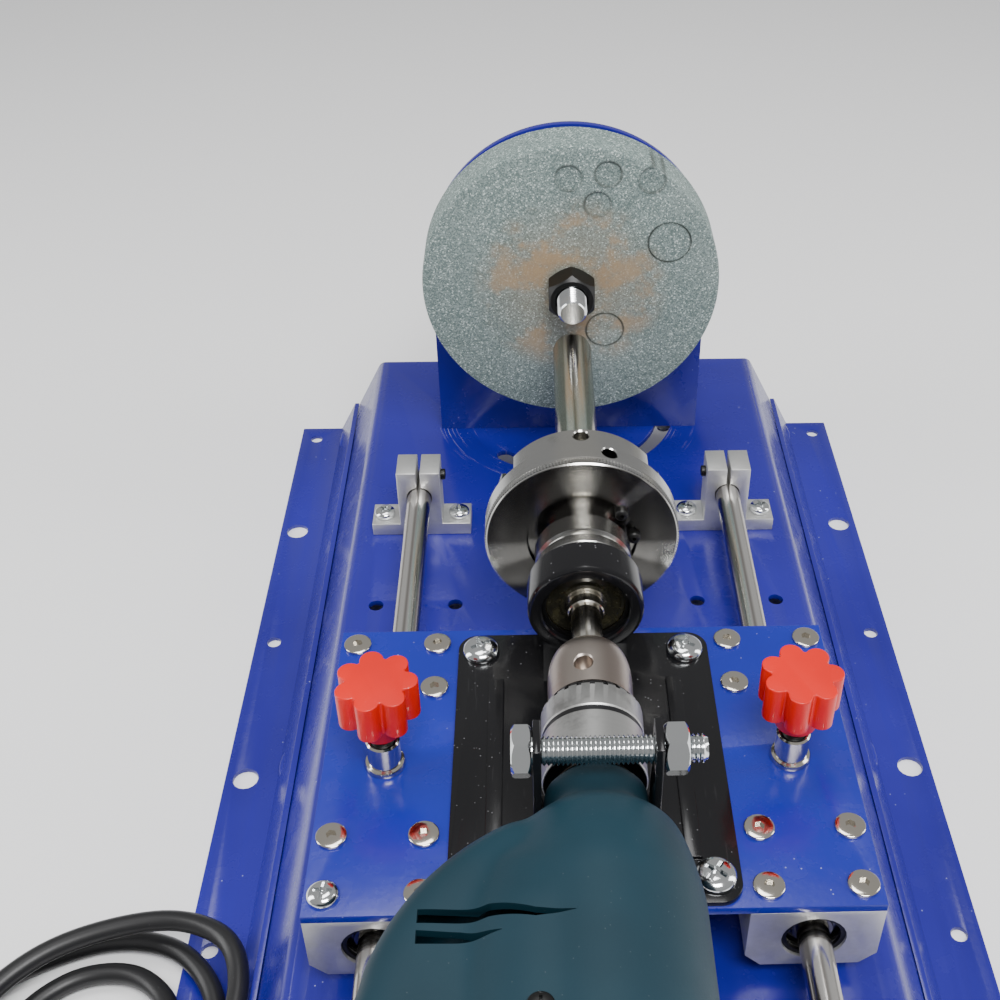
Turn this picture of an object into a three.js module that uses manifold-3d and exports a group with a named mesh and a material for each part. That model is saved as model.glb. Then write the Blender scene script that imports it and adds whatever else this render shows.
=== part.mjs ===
// Drill bit sharpener: a bench base with two guide rods, a sliding carriage that turns the bit with a clamped
// power drill through a three-jaw chuck, and a swivelling motor head with a flat-faced grinding wheel.
// Millimetres, +Z up, +X to the operator's right, +Y from the operator towards the wheel.
import * as THREE from "three";
import { mergeVertices } from "three/addons/utils/BufferGeometryUtils.js";
import Module from "manifold-3d";

const wasm = await Module();
wasm.setup();

// ---------- Driving dimensions ----------
// Heights are measured from the deck, the base's flat top; Y from the rear shaft supports' centre line.
const GAP = 0.3; // between pieces that seat in or turn beside each other
const SEAT = 0.05; // between flat faces that rest on each other
const RUNNING = 0.09; // radial running clearance of a bearing or a pin

const DECK_WIDTH = 188; // flat top of the base
const DECK_HEIGHT = 45.3; // deck above the bench
const SIDE_SPREAD = 23.5; // how far each side leans out on its way down
const SHEET = 2.5; // base sheet thickness
const BASE_REAR = 135; // deck's rear edge
const FLANGE_WIDTH = 22;
const HOLE_INSET = 8; // bolt-down holes from the flange edge
const FLANGE_THICKNESS = 2;
const FLANGE_LEG = 18; // upright leg's height against the sloping side
const HOLE_PITCH = 76.3; // bolt-down holes along each flange
const HOLE_COUNT = 7;
const HOLE_EDGE = 9.5; // first hole from the flange's end
const SMALL_HOLE_R = 3;
const LARGE_HOLE_R = 5;
const SPARE_HOLE_R = 3;
const SPARE_HOLE_Y = -51.4; // second set of holes for the shaft supports

const ROD_R = 5;
const ROD_X = 65.2; // rods either side of the middle
const ROD_HEIGHT = 20; // rod axis above the deck
const SUPPORT_SPAN = 303; // rear to front shaft supports
const SUPPORT = { width: 42, depth: 14, foot: 6, head: 18, height: 32.8, slot: 1.6, bolts: 32, boltR: 2.75 };

const BLOCK = {
  width: 40,
  length: 35,
  height: 26,
  axisDrop: 13,
  bearingR: 9.5,
  bearingLength: 29,
  chamfer: 5,
};
const BLOCK_PITCH = 82.3; // between the carriage's block centres along the rods
const CARRIAGE_Y = -163; // middle of the carriage at rest
const PLATE_MARGIN = 20; // carriage plate past the rods
const PLATE_THICKNESS = 3;

const MOUNT_PLATE = { width: 87, rear: -109, front: -221, thickness: 2, corner: 7 };
const RIB = { x: 30, width: 5, rear: -132, front: -206, height: 1.5 };

const SPINDLE_HEIGHT = 70; // work spindle axis above the deck
const SHAFT_R = 6;
const SHAFT_FRONT_R = 5; // the shaft between its bearing and the drill's chuck
const SHAFT_SIDES = 32; // facets of a shaft and of the bearing it turns in
const CHUCK_SIDES = 40;
const HOUSING = { rear: -118.3, front: -132.1, outerR: 19.2, seatR: 14.3, lip: 1.6, footHalf: 14 };
const BALL_BEARING = { outerR: 14, width: 8 };
const HUB_R = 16.5;
const HUB_NECK_R = 13;
const BACK_FLANGE = { r: 23, thickness: 4, pilotR: 17 };
const RING = { r: 33.8, rear: -95.7, front: -85.6 };
const CHUCK_BODY = { r: 30, front: -70.2 };
const TOMMY_HOLE_R = 2.8;
const TOMMY_HOLE_DEPTH = 7;
const JAW = { width: 8, outer: 26, stepR: 17, guideDepth: 12, reach: 11.5, angles: [30, 150, 270] };
const BIT_R = 8;
const BIT_TIP_Y = 34;

const NOSE_LENGTH = 12; // the rounded nose of the drill's chuck
const DRILL_CHUCK = { nose: -152, seam: -175, rear: -204, noseR: 8, bodyR: 13, coreR: 11, sleeveR: 15.2 };
const COLLAR_R = 15;
const CLAMP = { rear: -205.5, front: -217.5, ear: 2.2, earAbove: 30, boltAbove: 24 };
const M8_R = 4;
const HEX_M8_FLATS = 13;

const LOCK_Y = -165; // lock screws above the rods
const BUSHING = { flangeR: 6.6, tubeR: 5.4, boreR: 4.35, top: 48 };
const KNOB = { r: 13, lobe: 1.7, lobes: 7, bottom: 60, top: 74, hubR: 8, hubBottom: 52 };

const PIVOT_Y = 86; // head swivel axis
const SLOT_R = 47; // arc slot about the pivot
const SLOT_HALF = 3.8;
const SLOT_FROM = -130; // degrees from +X
const SLOT_TO = 32;
const PIVOT_R = 5;
const CLAMP_BOLT_R = 3;
const WHEEL_ABOVE_BIT = 21; // wheel axis above the bit, which meets the wheel below its middle
const WHEEL_HEIGHT = SPINDLE_HEIGHT + WHEEL_ABOVE_BIT;
const WHEEL = { r: 62.5, thickness: 20, face: 45, boreR: 6.35 };
const BRACKET = { half: 60.5, face: 72, thickness: 3, footLength: 54, gussetTop: 62 };
const MOTOR = {
  r: 38,
  wall: 3,
  rear: 122,
  capRear: 147,
  capR: 27,
  shaftR: 6,
  shaftFront: 23,
  shaftRear: 134,
};

const DRILL = { r: 27.5, shoulder: -219, full: -245, straightEnd: -348, rear: -377, wall: 2.6, split: 0.15 };
const GRIP = { end: -139, halfHeight: 17, bevel: 6, rear: -286, front: -340, cordY: -318 };

const CORD_R = 3.5;
const CORD_COIL = { x: -205, y: -345, r: 38.5, turns: 4 };
const PLUG = { x: -150, y: -391, length: 38, width: 26, height: 20 };

// ---------- Finishes ----------
const finish = (color, roughness, metalness) =>
  new THREE.MeshStandardMaterial({ color, roughness, metalness });
const BLUE = finish(0x2c3fa8, 0.42, 0.1);
const BRUSHED = finish(0xb4b6ba, 0.45, 0.9);
const CAST_ALU = finish(0xa6a5a2, 0.55, 0.7);
const STEEL = finish(0xa9a59b, 0.22, 1);
const DARK_STEEL = finish(0x5f6066, 0.3, 0.9);
const ZINC = finish(0xd4d8d8, 0.25, 0.9);
const NICKEL = finish(0xc9c3b4, 0.2, 1);
const BLACK = finish(0x0c0c0d, 0.2, 0.2);
const CARBIDE = finish(0x8aa09a, 0.95, 0);
const TEAL = finish(0x1f4856, 0.5, 0);
const RED = finish(0xe5281f, 0.35, 0);
const RUBBER = finish(0x111112, 0.6, 0);
const COPPER = finish(0x9a5a3a, 0.5, 0.6);

// ---------- Geometry helpers ----------
// A closed geometry as a manifold-3d solid, with its faces turned outwards.
function solid(geometry) {
  const bare = new THREE.BufferGeometry();
  bare.setAttribute("position", geometry.getAttribute("position"));
  if (geometry.index) bare.setIndex(geometry.index);
  const merged = mergeVertices(bare, 1e-4);
  const source = merged.index.array;
  const triangles = [];
  for (let i = 0; i < source.length; i += 3) {
    const [a, b, c] = [source[i], source[i + 1], source[i + 2]];
    if (a !== b && b !== c && c !== a) triangles.push(a, b, c);
  }
  const build = (list) =>
    new wasm.Manifold(
      new wasm.Mesh({
        numProp: 3,
        vertProperties: new Float32Array(merged.attributes.position.array),
        triVerts: new Uint32Array(list),
      }),
    );
  const made = build(triangles);
  if (made.volume() > 0) return made;
  for (let i = 0; i < triangles.length; i += 3) {
    [triangles[i + 1], triangles[i + 2]] = [triangles[i + 2], triangles[i + 1]];
  }
  return build(triangles);
}

function geometryOf(body) {
  const mesh = body.getMesh();
  const positions = new Float32Array(mesh.numVert * 3);
  for (let i = 0; i < mesh.numVert; i += 1) {
    for (let k = 0; k < 3; k += 1) positions[i * 3 + k] = mesh.vertProperties[i * mesh.numProp + k];
  }
  const geometry = new THREE.BufferGeometry();
  geometry.setAttribute("position", new THREE.BufferAttribute(positions, 3));
  geometry.setIndex(new THREE.BufferAttribute(new Uint32Array(mesh.triVerts), 1));
  return geometry;
}

const radians = THREE.MathUtils.degToRad;

function box(x0, x1, y0, y1, z0, z1) {
  const geometry = new THREE.BoxGeometry(x1 - x0, y1 - y0, z1 - z0);
  return solid(geometry.translate((x0 + x1) / 2, (y0 + y1) / 2, (z0 + z1) / 2));
}

// Turned round the Y axis from [radius, y] points, then set on the axis through (x, z).
function turned(points, x = 0, z = 0, segments = 24) {
  const profile = points.map(([r, y]) => new THREE.Vector2(r, y));
  return solid(new THREE.LatheGeometry(profile, segments).translate(x, 0, z));
}

// Turned round a vertical axis through (x, y) from [radius, z] points.
function upright(points, x, y, segments = 20) {
  const profile = points.map(([r, z]) => new THREE.Vector2(r, z));
  return solid(new THREE.LatheGeometry(profile, segments).rotateX(Math.PI / 2).translate(x, y, 0));
}

// A closed ring profile between two radii and two heights, for turned() and upright().
const ring = (inner, outer, from, to) => [
  [inner, from],
  [outer, from],
  [outer, to],
  [inner, to],
  [inner, from],
];
const rod = (r, from, to) => [[0, from], [r, from], [r, to], [0, to]];

// An outline in X and Z, extruded along Y.
function prismY(shape, y0, y1, segments = 16) {
  const options = { depth: y1 - y0, bevelEnabled: false, curveSegments: segments };
  const geometry = new THREE.ExtrudeGeometry(shape, options);
  return solid(geometry.rotateX(Math.PI / 2).translate(0, y1, 0));
}

// An outline in X and Y, extruded up along Z.
function prismZ(shape, z0, z1, segments = 8) {
  const options = { depth: z1 - z0, bevelEnabled: false, curveSegments: segments };
  return solid(new THREE.ExtrudeGeometry(shape, options).translate(0, 0, z0));
}

// An outline in Y and Z, extruded along X.
function prismX(shape, x0, x1) {
  const geometry = new THREE.ExtrudeGeometry(shape, { depth: x1 - x0, bevelEnabled: false });
  return solid(geometry.rotateY(Math.PI / 2).rotateX(Math.PI / 2).translate(x0, 0, 0));
}

const outline = (points) => new THREE.Shape(points.map(([a, b]) => new THREE.Vector2(a, b)));

function hexagon(flats) {
  const corner = flats / Math.sqrt(3);
  const points = [];
  for (let i = 0; i < 6; i += 1) {
    const angle = (i * Math.PI) / 3;
    points.push([corner * Math.cos(angle), corner * Math.sin(angle)]);
  }
  return outline(points);
}

function roundedRectangle(x0, x1, y0, y1, r) {
  const shape = new THREE.Shape();
  shape.moveTo(x0 + r, y0);
  shape.lineTo(x1 - r, y0);
  shape.absarc(x1 - r, y0 + r, r, -Math.PI / 2, 0, false);
  shape.lineTo(x1, y1 - r);
  shape.absarc(x1 - r, y1 - r, r, 0, Math.PI / 2, false);
  shape.lineTo(x0 + r, y1);
  shape.absarc(x0 + r, y1 - r, r, Math.PI / 2, Math.PI, false);
  shape.lineTo(x0, y0 + r);
  shape.absarc(x0 + r, y0 + r, r, Math.PI, 1.5 * Math.PI, false);
  return shape;
}

const union = (first, ...rest) => rest.reduce((sum, piece) => sum.add(piece), first);
const cut = (first, ...rest) => rest.reduce((sum, piece) => sum.subtract(piece), first);

function place(group, name, body, material) {
  const mesh = new THREE.Mesh(geometryOf(body), material);
  mesh.name = name;
  group.add(mesh);
  return mesh;
}

const SIDES = [["left", -1], ["right", 1]];

// ---------- Base ----------
const baseLength = HOLE_PITCH * (HOLE_COUNT - 1) + 2 * HOLE_EDGE;
const baseFront = BASE_REAR - baseLength;
const deckHalf = DECK_WIDTH / 2;
const footHalf = deckHalf + SIDE_SPREAD;
const flangeTop = FLANGE_THICKNESS - DECK_HEIGHT;
const sideSlope = SIDE_SPREAD / DECK_HEIGHT;
const frontSupportY = -SUPPORT_SPAN;

// The slot that the head's clamp bolt runs in: an arc about the pivot with round ends.
function arcSlot() {
  const shape = new THREE.Shape();
  const [from, to] = [radians(SLOT_FROM), radians(SLOT_TO)];
  shape.absarc(0, PIVOT_Y, SLOT_R + SLOT_HALF, from, to, false);
  shape.absarc(SLOT_R * Math.cos(to), PIVOT_Y + SLOT_R * Math.sin(to), SLOT_HALF, to, to + Math.PI, false);
  shape.absarc(0, PIVOT_Y, SLOT_R - SLOT_HALF, to, from, true);
  const endX = SLOT_R * Math.cos(from);
  const endY = PIVOT_Y + SLOT_R * Math.sin(from);
  shape.absarc(endX, endY, SLOT_HALF, from + Math.PI, from + 2 * Math.PI, false);
  return prismZ(shape, -SHEET - 1, 1, 14);
}

function baseChannel() {
  const lean = SHEET * Math.hypot(1, sideSlope); // sheet thickness measured level on the leaning side
  const section = outline([
    [-footHalf, -DECK_HEIGHT],
    [-deckHalf, 0],
    [deckHalf, 0],
    [footHalf, -DECK_HEIGHT],
    [footHalf - lean, -DECK_HEIGHT],
    [deckHalf - lean + sideSlope * SHEET, -SHEET],
    [-deckHalf + lean - sideSlope * SHEET, -SHEET],
    [-footHalf + lean, -DECK_HEIGHT],
  ]);
  let body = cut(prismY(section, baseFront, BASE_REAR), arcSlot());
  body = body.subtract(upright(rod(PIVOT_R + GAP, -SHEET - 1, 1), 0, PIVOT_Y));
  for (const [, side] of SIDES) {
    for (const offset of [-SUPPORT.bolts / 2, SUPPORT.bolts / 2]) {
      const x = side * ROD_X + offset;
      body = body.subtract(upright(rod(SPARE_HOLE_R, -SHEET - 1, 1), x, SPARE_HOLE_Y, 16));
    }
  }
  return body;
}

function flangeAngle(side) {
  const lean = FLANGE_THICKNESS * Math.hypot(1, sideSlope);
  const at = (height) => footHalf + GAP - sideSlope * height; // outer face of the leaning side at a height
  const section = outline([
    [side * at(0), -DECK_HEIGHT],
    [side * (footHalf + FLANGE_WIDTH), -DECK_HEIGHT],
    [side * (footHalf + FLANGE_WIDTH), flangeTop],
    [side * (at(FLANGE_THICKNESS) + lean), flangeTop],
    [side * (at(FLANGE_LEG) + lean), FLANGE_LEG - DECK_HEIGHT],
    [side * at(FLANGE_LEG), FLANGE_LEG - DECK_HEIGHT],
  ]);
  let body = prismY(section, baseFront, BASE_REAR);
  const x = side * (footHalf + FLANGE_WIDTH - HOLE_INSET);
  for (let i = 0; i < HOLE_COUNT; i += 1) {
    const r = i % 2 === 0 ? SMALL_HOLE_R : LARGE_HOLE_R;
    const y = BASE_REAR - HOLE_EDGE - i * HOLE_PITCH;
    body = body.subtract(upright(rod(r, -DECK_HEIGHT - 1, flangeTop + 1), x, y, 16));
  }
  return body;
}

function shaftSupport(x, y) {
  const half = SUPPORT.width / 2;
  const head = SUPPORT.head / 2;
  const section = outline([
    [x - half, SEAT],
    [x + half, SEAT],
    [x + half, SUPPORT.foot],
    [x + head, SUPPORT.foot],
    [x + head, SUPPORT.height],
    [x - head, SUPPORT.height],
    [x - head, SUPPORT.foot],
    [x - half, SUPPORT.foot],
  ]);
  const [rear, front] = [y + SUPPORT.depth / 2, y - SUPPORT.depth / 2];
  let body = prismY(section, front, rear);
  body = body.subtract(turned(rod(ROD_R + GAP, front - 1, rear + 1), x, ROD_HEIGHT));
  const slotHalf = SUPPORT.slot / 2;
  body = body.subtract(
    box(x - slotHalf, x + slotHalf, front - 1, rear + 1, ROD_HEIGHT, SUPPORT.height + 1),
  );
  for (const offset of [-SUPPORT.bolts / 2, SUPPORT.bolts / 2]) {
    body = body.subtract(upright(rod(SUPPORT.boltR, -1, SUPPORT.foot + 1), x + offset, y, 12));
  }
  return body;
}

const base = new THREE.Group();
place(base, "base_channel", baseChannel(), BLUE);
for (const [label, side] of SIDES) {
  place(base, `flange_angle_${label}`, flangeAngle(side), BLUE);
  place(base, `shaft_support_rear_${label}`, shaftSupport(side * ROD_X, 0), CAST_ALU);
  place(base, `shaft_support_front_${label}`, shaftSupport(side * ROD_X, frontSupportY), CAST_ALU);
  const ends = [frontSupportY - SUPPORT.depth / 2, SUPPORT.depth / 2];
  place(base, `guide_rod_${label}`, turned(rod(ROD_R, ...ends), side * ROD_X, ROD_HEIGHT), STEEL);
}
const footTop = SEAT + BRACKET.thickness;
const pivotProfile = [
  [0, -SHEET - 9],
  [PIVOT_R, -SHEET - 9],
  [PIVOT_R, footTop + SEAT],
  [8.5, footTop + SEAT],
  [8.5, footTop + 6],
  [0, footTop + 6],
];
place(base, "swivel_pivot_bolt", upright(pivotProfile, 0, PIVOT_Y), ZINC);

// ---------- Grinding head ----------
const bracketRear = BRACKET.face + BRACKET.thickness;
const motorFront = bracketRear + GAP;
const wheelRear = WHEEL.face + WHEEL.thickness;

function headBracket() {
  const arch = new THREE.Shape();
  arch.moveTo(-BRACKET.half, SEAT);
  arch.lineTo(BRACKET.half, SEAT);
  arch.lineTo(BRACKET.half, WHEEL_HEIGHT);
  arch.absarc(0, WHEEL_HEIGHT, BRACKET.half, 0, Math.PI, false);
  let body = prismY(arch, BRACKET.face, bracketRear, 28);
  const footRear = bracketRear + BRACKET.footLength;
  body = body.add(box(-BRACKET.half, BRACKET.half, BRACKET.face + 1, footRear, SEAT, footTop));
  for (const [, side] of SIDES) {
    const [outer, inner] = [side * BRACKET.half, side * (BRACKET.half - BRACKET.thickness)];
    const gusset = outline([[bracketRear - 1, SEAT], [footRear, SEAT], [bracketRear - 1, BRACKET.gussetTop]]);
    body = body.add(prismX(gusset, Math.min(outer, inner), Math.max(outer, inner)));
  }
  body = body.subtract(turned(rod(20, BRACKET.face - 1, bracketRear + 1), 0, WHEEL_HEIGHT, 24));
  body = body.subtract(upright(rod(PIVOT_R + RUNNING, -1, footTop + 1), 0, PIVOT_Y));
  return body.subtract(upright(rod(CLAMP_BOLT_R + GAP, -1, footTop + 1), SLOT_R, PIVOT_Y, 16));
}

const bearingSeatY = [motorFront + 2, motorFront + 2 + BALL_BEARING.width];
const motorCaseProfile = [
  [MOTOR.shaftR + 2, motorFront],
  [MOTOR.r, motorFront],
  [MOTOR.r, MOTOR.rear],
  [MOTOR.r - MOTOR.wall, MOTOR.rear],
  [MOTOR.r - MOTOR.wall, motorFront + 3],
  [BALL_BEARING.outerR + 3, motorFront + 3],
  [BALL_BEARING.outerR + 3, bearingSeatY[1]],
  [BALL_BEARING.outerR + GAP, bearingSeatY[1]],
  [BALL_BEARING.outerR + GAP, bearingSeatY[0] - GAP],
  [MOTOR.shaftR + 2, bearingSeatY[0] - GAP],
  [MOTOR.shaftR + 2, motorFront],
];
const motorCapProfile = [
  [MOTOR.r, MOTOR.rear + GAP],
  [MOTOR.r - 2, MOTOR.rear + 8],
  [MOTOR.capR + 3, MOTOR.capRear - 4],
  [MOTOR.capR - 3, MOTOR.capRear],
  [0, MOTOR.capRear],
  [0, MOTOR.capRear - 3],
  [MOTOR.capR - 4, MOTOR.capRear - 3],
  [MOTOR.r - 6, MOTOR.rear + 8],
  [MOTOR.r - MOTOR.wall, MOTOR.rear + GAP],
  [MOTOR.r, MOTOR.rear + GAP],
];

const BUTTON = { x: 10, r: 6, out: 4, in: 7 };
const GLAND = { x: -13, z: -12, r: 6, length: 11 };
const head = new THREE.Group();
place(head, "head_bracket", headBracket(), BLUE);
place(head, "motor_case", turned(motorCaseProfile, 0, WHEEL_HEIGHT, 36), BLUE);
let motorCap = turned(motorCapProfile, 0, WHEEL_HEIGHT, 36);
const capCut = [MOTOR.capRear - 5, MOTOR.capRear + 1];
motorCap = motorCap.subtract(turned(rod(BUTTON.r + GAP, ...capCut), BUTTON.x, WHEEL_HEIGHT, 20));
place(head, "motor_rear_cap", motorCap, BLUE);
const stator = ring(21, MOTOR.r - MOTOR.wall - GAP, motorFront + 13, MOTOR.rear - 4);
place(head, "motor_stator", turned(stator, 0, WHEEL_HEIGHT), DARK_STEEL);
const bearingRing = ring(MOTOR.shaftR + RUNNING, BALL_BEARING.outerR, ...bearingSeatY);
place(head, "motor_bearing", turned(bearingRing, 0, WHEEL_HEIGHT, SHAFT_SIDES), STEEL);
const glandY = MOTOR.capRear + GAP;
const glandProfile = ring(2.6, GLAND.r, glandY, glandY + GLAND.length);
place(head, "motor_cable_gland", turned(glandProfile, GLAND.x, WHEEL_HEIGHT + GLAND.z, 16), RUBBER);
const clampBoltProfile = [
  [0, -SHEET - 9],
  [CLAMP_BOLT_R, -SHEET - 9],
  [CLAMP_BOLT_R, footTop + SEAT],
  [6, footTop + SEAT],
  [6, footTop + 5],
  [0, footTop + 5],
];
place(head, "head_clamp_bolt", upright(clampBoltProfile, SLOT_R, PIVOT_Y, 16), ZINC);
const buttonProfile = rod(BUTTON.r, MOTOR.capRear - BUTTON.in, MOTOR.capRear + BUTTON.out);
place(head, "switch_button", turned(buttonProfile, BUTTON.x, WHEEL_HEIGHT, 20), RED);

const nutRear = WHEEL.face - GAP;
const nutLength = 11.5;
const motorShaftProfile = [
  [0, MOTOR.shaftFront],
  [MOTOR.shaftR - 1, MOTOR.shaftFront],
  [MOTOR.shaftR, MOTOR.shaftFront + 1],
  [MOTOR.shaftR, MOTOR.shaftRear],
  [0, MOTOR.shaftRear],
];
place(head, "motor_shaft", turned(motorShaftProfile, 0, WHEEL_HEIGHT, SHAFT_SIDES), ZINC);
const rotorProfile = ring(MOTOR.shaftR + GAP, 20, motorFront + 14, MOTOR.rear - 5);
place(head, "motor_rotor", turned(rotorProfile, 0, WHEEL_HEIGHT), DARK_STEEL);
const innerFlange = ring(MOTOR.shaftR + GAP, 19, wheelRear + GAP, wheelRear + 5);
place(head, "wheel_inner_flange", turned(innerFlange, 0, WHEEL_HEIGHT), DARK_STEEL);
const wheelProfile = [
  [WHEEL.boreR, WHEEL.face],
  [WHEEL.r - 0.8, WHEEL.face],
  [WHEEL.r, WHEEL.face + 0.8],
  [WHEEL.r, wheelRear],
  [WHEEL.boreR, wheelRear],
  [WHEEL.boreR, WHEEL.face],
];
place(head, "grinding_wheel", turned(wheelProfile, 0, WHEEL_HEIGHT, 48), CARBIDE);
let wheelNut = prismY(hexagon(19), nutRear - nutLength, nutRear);
wheelNut = wheelNut.subtract(turned(rod(MOTOR.shaftR + GAP, nutRear - nutLength - 1, nutRear + 1)));
place(head, "wheel_nut", wheelNut.translate([0, 0, WHEEL_HEIGHT]), BLACK);

// ---------- Carriage ----------
const blockTop = ROD_HEIGHT + BLOCK.axisDrop;
const blockBottom = blockTop - BLOCK.height;
const plateBottom = blockTop + SEAT;
const plateTop = plateBottom + PLATE_THICKNESS;
const mountTop = plateTop + SEAT + MOUNT_PLATE.thickness;
const carriageLength = BLOCK_PITCH + BLOCK.length;
const carriageRear = CARRIAGE_Y + carriageLength / 2;
const carriageFront = CARRIAGE_Y - carriageLength / 2;

function bearingBlock(x, y) {
  const half = BLOCK.width / 2;
  const narrow = half - BLOCK.chamfer;
  const section = outline([
    [x - narrow, blockBottom],
    [x + narrow, blockBottom],
    [x + half, blockBottom + BLOCK.chamfer],
    [x + half, blockTop],
    [x - half, blockTop],
    [x - half, blockBottom + BLOCK.chamfer],
  ]);
  const [front, rear] = [y - BLOCK.length / 2, y + BLOCK.length / 2];
  const bore = turned(rod(BLOCK.bearingR + GAP, front - 1, rear + 1), x, ROD_HEIGHT);
  return cut(prismY(section, front, rear), bore);
}

const carriage = new THREE.Group();
const plateHalf = ROD_X + PLATE_MARGIN;
let carriagePlate = box(-plateHalf, plateHalf, carriageFront, carriageRear, plateBottom, plateTop);
for (const [label, side] of SIDES) {
  const x = side * ROD_X;
  const hole = rod(BUSHING.tubeR + GAP, plateBottom - 1, plateTop + 1);
  carriagePlate = carriagePlate.subtract(upright(hole, x, LOCK_Y));
  for (const [end, step] of [["rear", 1], ["front", -1]]) {
    const y = CARRIAGE_Y + (step * BLOCK_PITCH) / 2;
    place(carriage, `bearing_block_${end}_${label}`, bearingBlock(x, y), CAST_ALU);
    const span = [y - BLOCK.bearingLength / 2, y + BLOCK.bearingLength / 2];
    const sleeve = turned(ring(ROD_R + RUNNING, BLOCK.bearingR, ...span), x, ROD_HEIGHT);
    place(carriage, `linear_bearing_${end}_${label}`, sleeve, STEEL);
  }
  const bushing = [
    [BUSHING.boreR, plateBottom],
    [BUSHING.tubeR, plateBottom],
    [BUSHING.tubeR, plateTop + SEAT],
    [BUSHING.flangeR, plateTop + SEAT],
    [BUSHING.flangeR, plateTop + 2],
    [BUSHING.tubeR, plateTop + 2.4],
    [BUSHING.tubeR, BUSHING.top],
    [BUSHING.boreR, BUSHING.top],
    [BUSHING.boreR, plateBottom],
  ];
  place(carriage, `lock_bushing_${label}`, upright(bushing, x, LOCK_Y), NICKEL);
}
place(carriage, "carriage_plate", carriagePlate, BLUE);

const mountHalf = MOUNT_PLATE.width / 2;
const mountShape = roundedRectangle(
  -mountHalf,
  mountHalf,
  MOUNT_PLATE.front,
  MOUNT_PLATE.rear,
  MOUNT_PLATE.corner,
);
let mountingPlate = prismZ(mountShape, plateTop + SEAT, mountTop);
for (const [, side] of SIDES) {
  const [x0, x1] = [side * RIB.x - RIB.width / 2, side * RIB.x + RIB.width / 2];
  mountingPlate = mountingPlate.add(box(x0, x1, RIB.front, RIB.rear, mountTop - 1, mountTop + RIB.height));
}
place(carriage, "mounting_plate", mountingPlate, BLACK);

const housingLip = HOUSING.rear - HOUSING.lip;
let housing = turned(rod(HOUSING.outerR, HOUSING.front, HOUSING.rear), 0, SPINDLE_HEIGHT);
housing = housing.add(
  box(-HOUSING.footHalf, HOUSING.footHalf, HOUSING.front, HOUSING.rear, mountTop + SEAT, SPINDLE_HEIGHT - 10),
);
housing = cut(
  housing,
  turned(rod(HOUSING.seatR, HOUSING.front - 1, housingLip), 0, SPINDLE_HEIGHT),
  turned(rod(BALL_BEARING.outerR - 2, housingLip - 1, HOUSING.rear + 1), 0, SPINDLE_HEIGHT),
);
place(carriage, "spindle_housing", housing, BLACK);
const spindleBearingRear = housingLip - GAP;
const spindleBearing = ring(
  SHAFT_R + RUNNING,
  BALL_BEARING.outerR,
  spindleBearingRear - BALL_BEARING.width,
  spindleBearingRear,
);
place(carriage, "spindle_bearing", turned(spindleBearing, 0, SPINDLE_HEIGHT, SHAFT_SIDES), STEEL);

// A U-shaped saddle with a round seat under the drill's collar and two ears for the cross bolt.
const earInner = COLLAR_R + GAP;
const earOuter = earInner + CLAMP.ear;
const clampY = (CLAMP.rear + CLAMP.front) / 2;
const clampTop = SPINDLE_HEIGHT + CLAMP.earAbove;
const clampBoltHeight = SPINDLE_HEIGHT + CLAMP.boltAbove;
function drillClamp() {
  let body = box(-earOuter, earOuter, CLAMP.front, CLAMP.rear, mountTop + SEAT, clampTop);
  body = body.subtract(
    box(-earInner, earInner, CLAMP.front - 1, CLAMP.rear + 1, SPINDLE_HEIGHT, clampTop + 1),
  );
  body = body.subtract(turned(rod(earInner, CLAMP.front - 1, CLAMP.rear + 1), 0, SPINDLE_HEIGHT));
  const boltHoleR = M8_R + GAP;
  const boltHole = solid(
    new THREE.CylinderGeometry(boltHoleR, boltHoleR, 3 * earOuter, 20).rotateZ(Math.PI / 2),
  );
  return body.subtract(boltHole.translate([0, clampY, clampBoltHeight]));
}
place(carriage, "drill_clamp", drillClamp(), BLACK);

function alongX(r, x0, x1, segments = 20) {
  const geometry = new THREE.CylinderGeometry(r, r, x1 - x0, segments).rotateZ(Math.PI / 2);
  return solid(geometry.translate((x0 + x1) / 2, clampY, clampBoltHeight));
}
function hexAlongX(flats, x0, x1) {
  const geometry = new THREE.ExtrudeGeometry(hexagon(flats), { depth: x1 - x0, bevelEnabled: false });
  return solid(geometry.rotateY(Math.PI / 2).translate(x0, clampY, clampBoltHeight));
}
const boltHead = hexAlongX(HEX_M8_FLATS, -earOuter - GAP - 5.5, -earOuter - GAP);
place(carriage, "clamp_bolt", boltHead.add(alongX(M8_R, -earOuter - GAP - 1, earOuter + 12)), ZINC);
const nutX = [earOuter + GAP, earOuter + GAP + 6.5];
const clampNut = hexAlongX(HEX_M8_FLATS, ...nutX).subtract(alongX(M8_R + GAP, nutX[0] - 1, nutX[1] + 1));
place(carriage, "clamp_nut", clampNut, ZINC);

function lockKnob(side) {
  const shape = new THREE.Shape();
  const steps = KNOB.lobes * 8;
  for (let i = 0; i < steps; i += 1) {
    const angle = (i / steps) * 2 * Math.PI;
    const r = KNOB.r - KNOB.lobe + KNOB.lobe * Math.cos(KNOB.lobes * angle);
    shape[i === 0 ? "moveTo" : "lineTo"](r * Math.cos(angle), r * Math.sin(angle));
  }
  const star = prismZ(shape, KNOB.bottom, KNOB.top).translate([side * ROD_X, LOCK_Y, 0]);
  const studTip = ROD_HEIGHT + ROD_R + 1;
  const stem = [
    [0, studTip],
    [4, studTip],
    [4, KNOB.hubBottom],
    [KNOB.hubR - 1.5, KNOB.hubBottom],
    [KNOB.hubR, KNOB.bottom + 1],
    [0, KNOB.bottom + 1],
  ];
  return star.add(upright(stem, side * ROD_X, LOCK_Y));
}
for (const [label, side] of SIDES) place(carriage, `lock_knob_${label}`, lockKnob(side), RED);

// ---------- Work spindle ----------
const spindle = new THREE.Group();
spindle.position.z = SPINDLE_HEIGHT;

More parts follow.
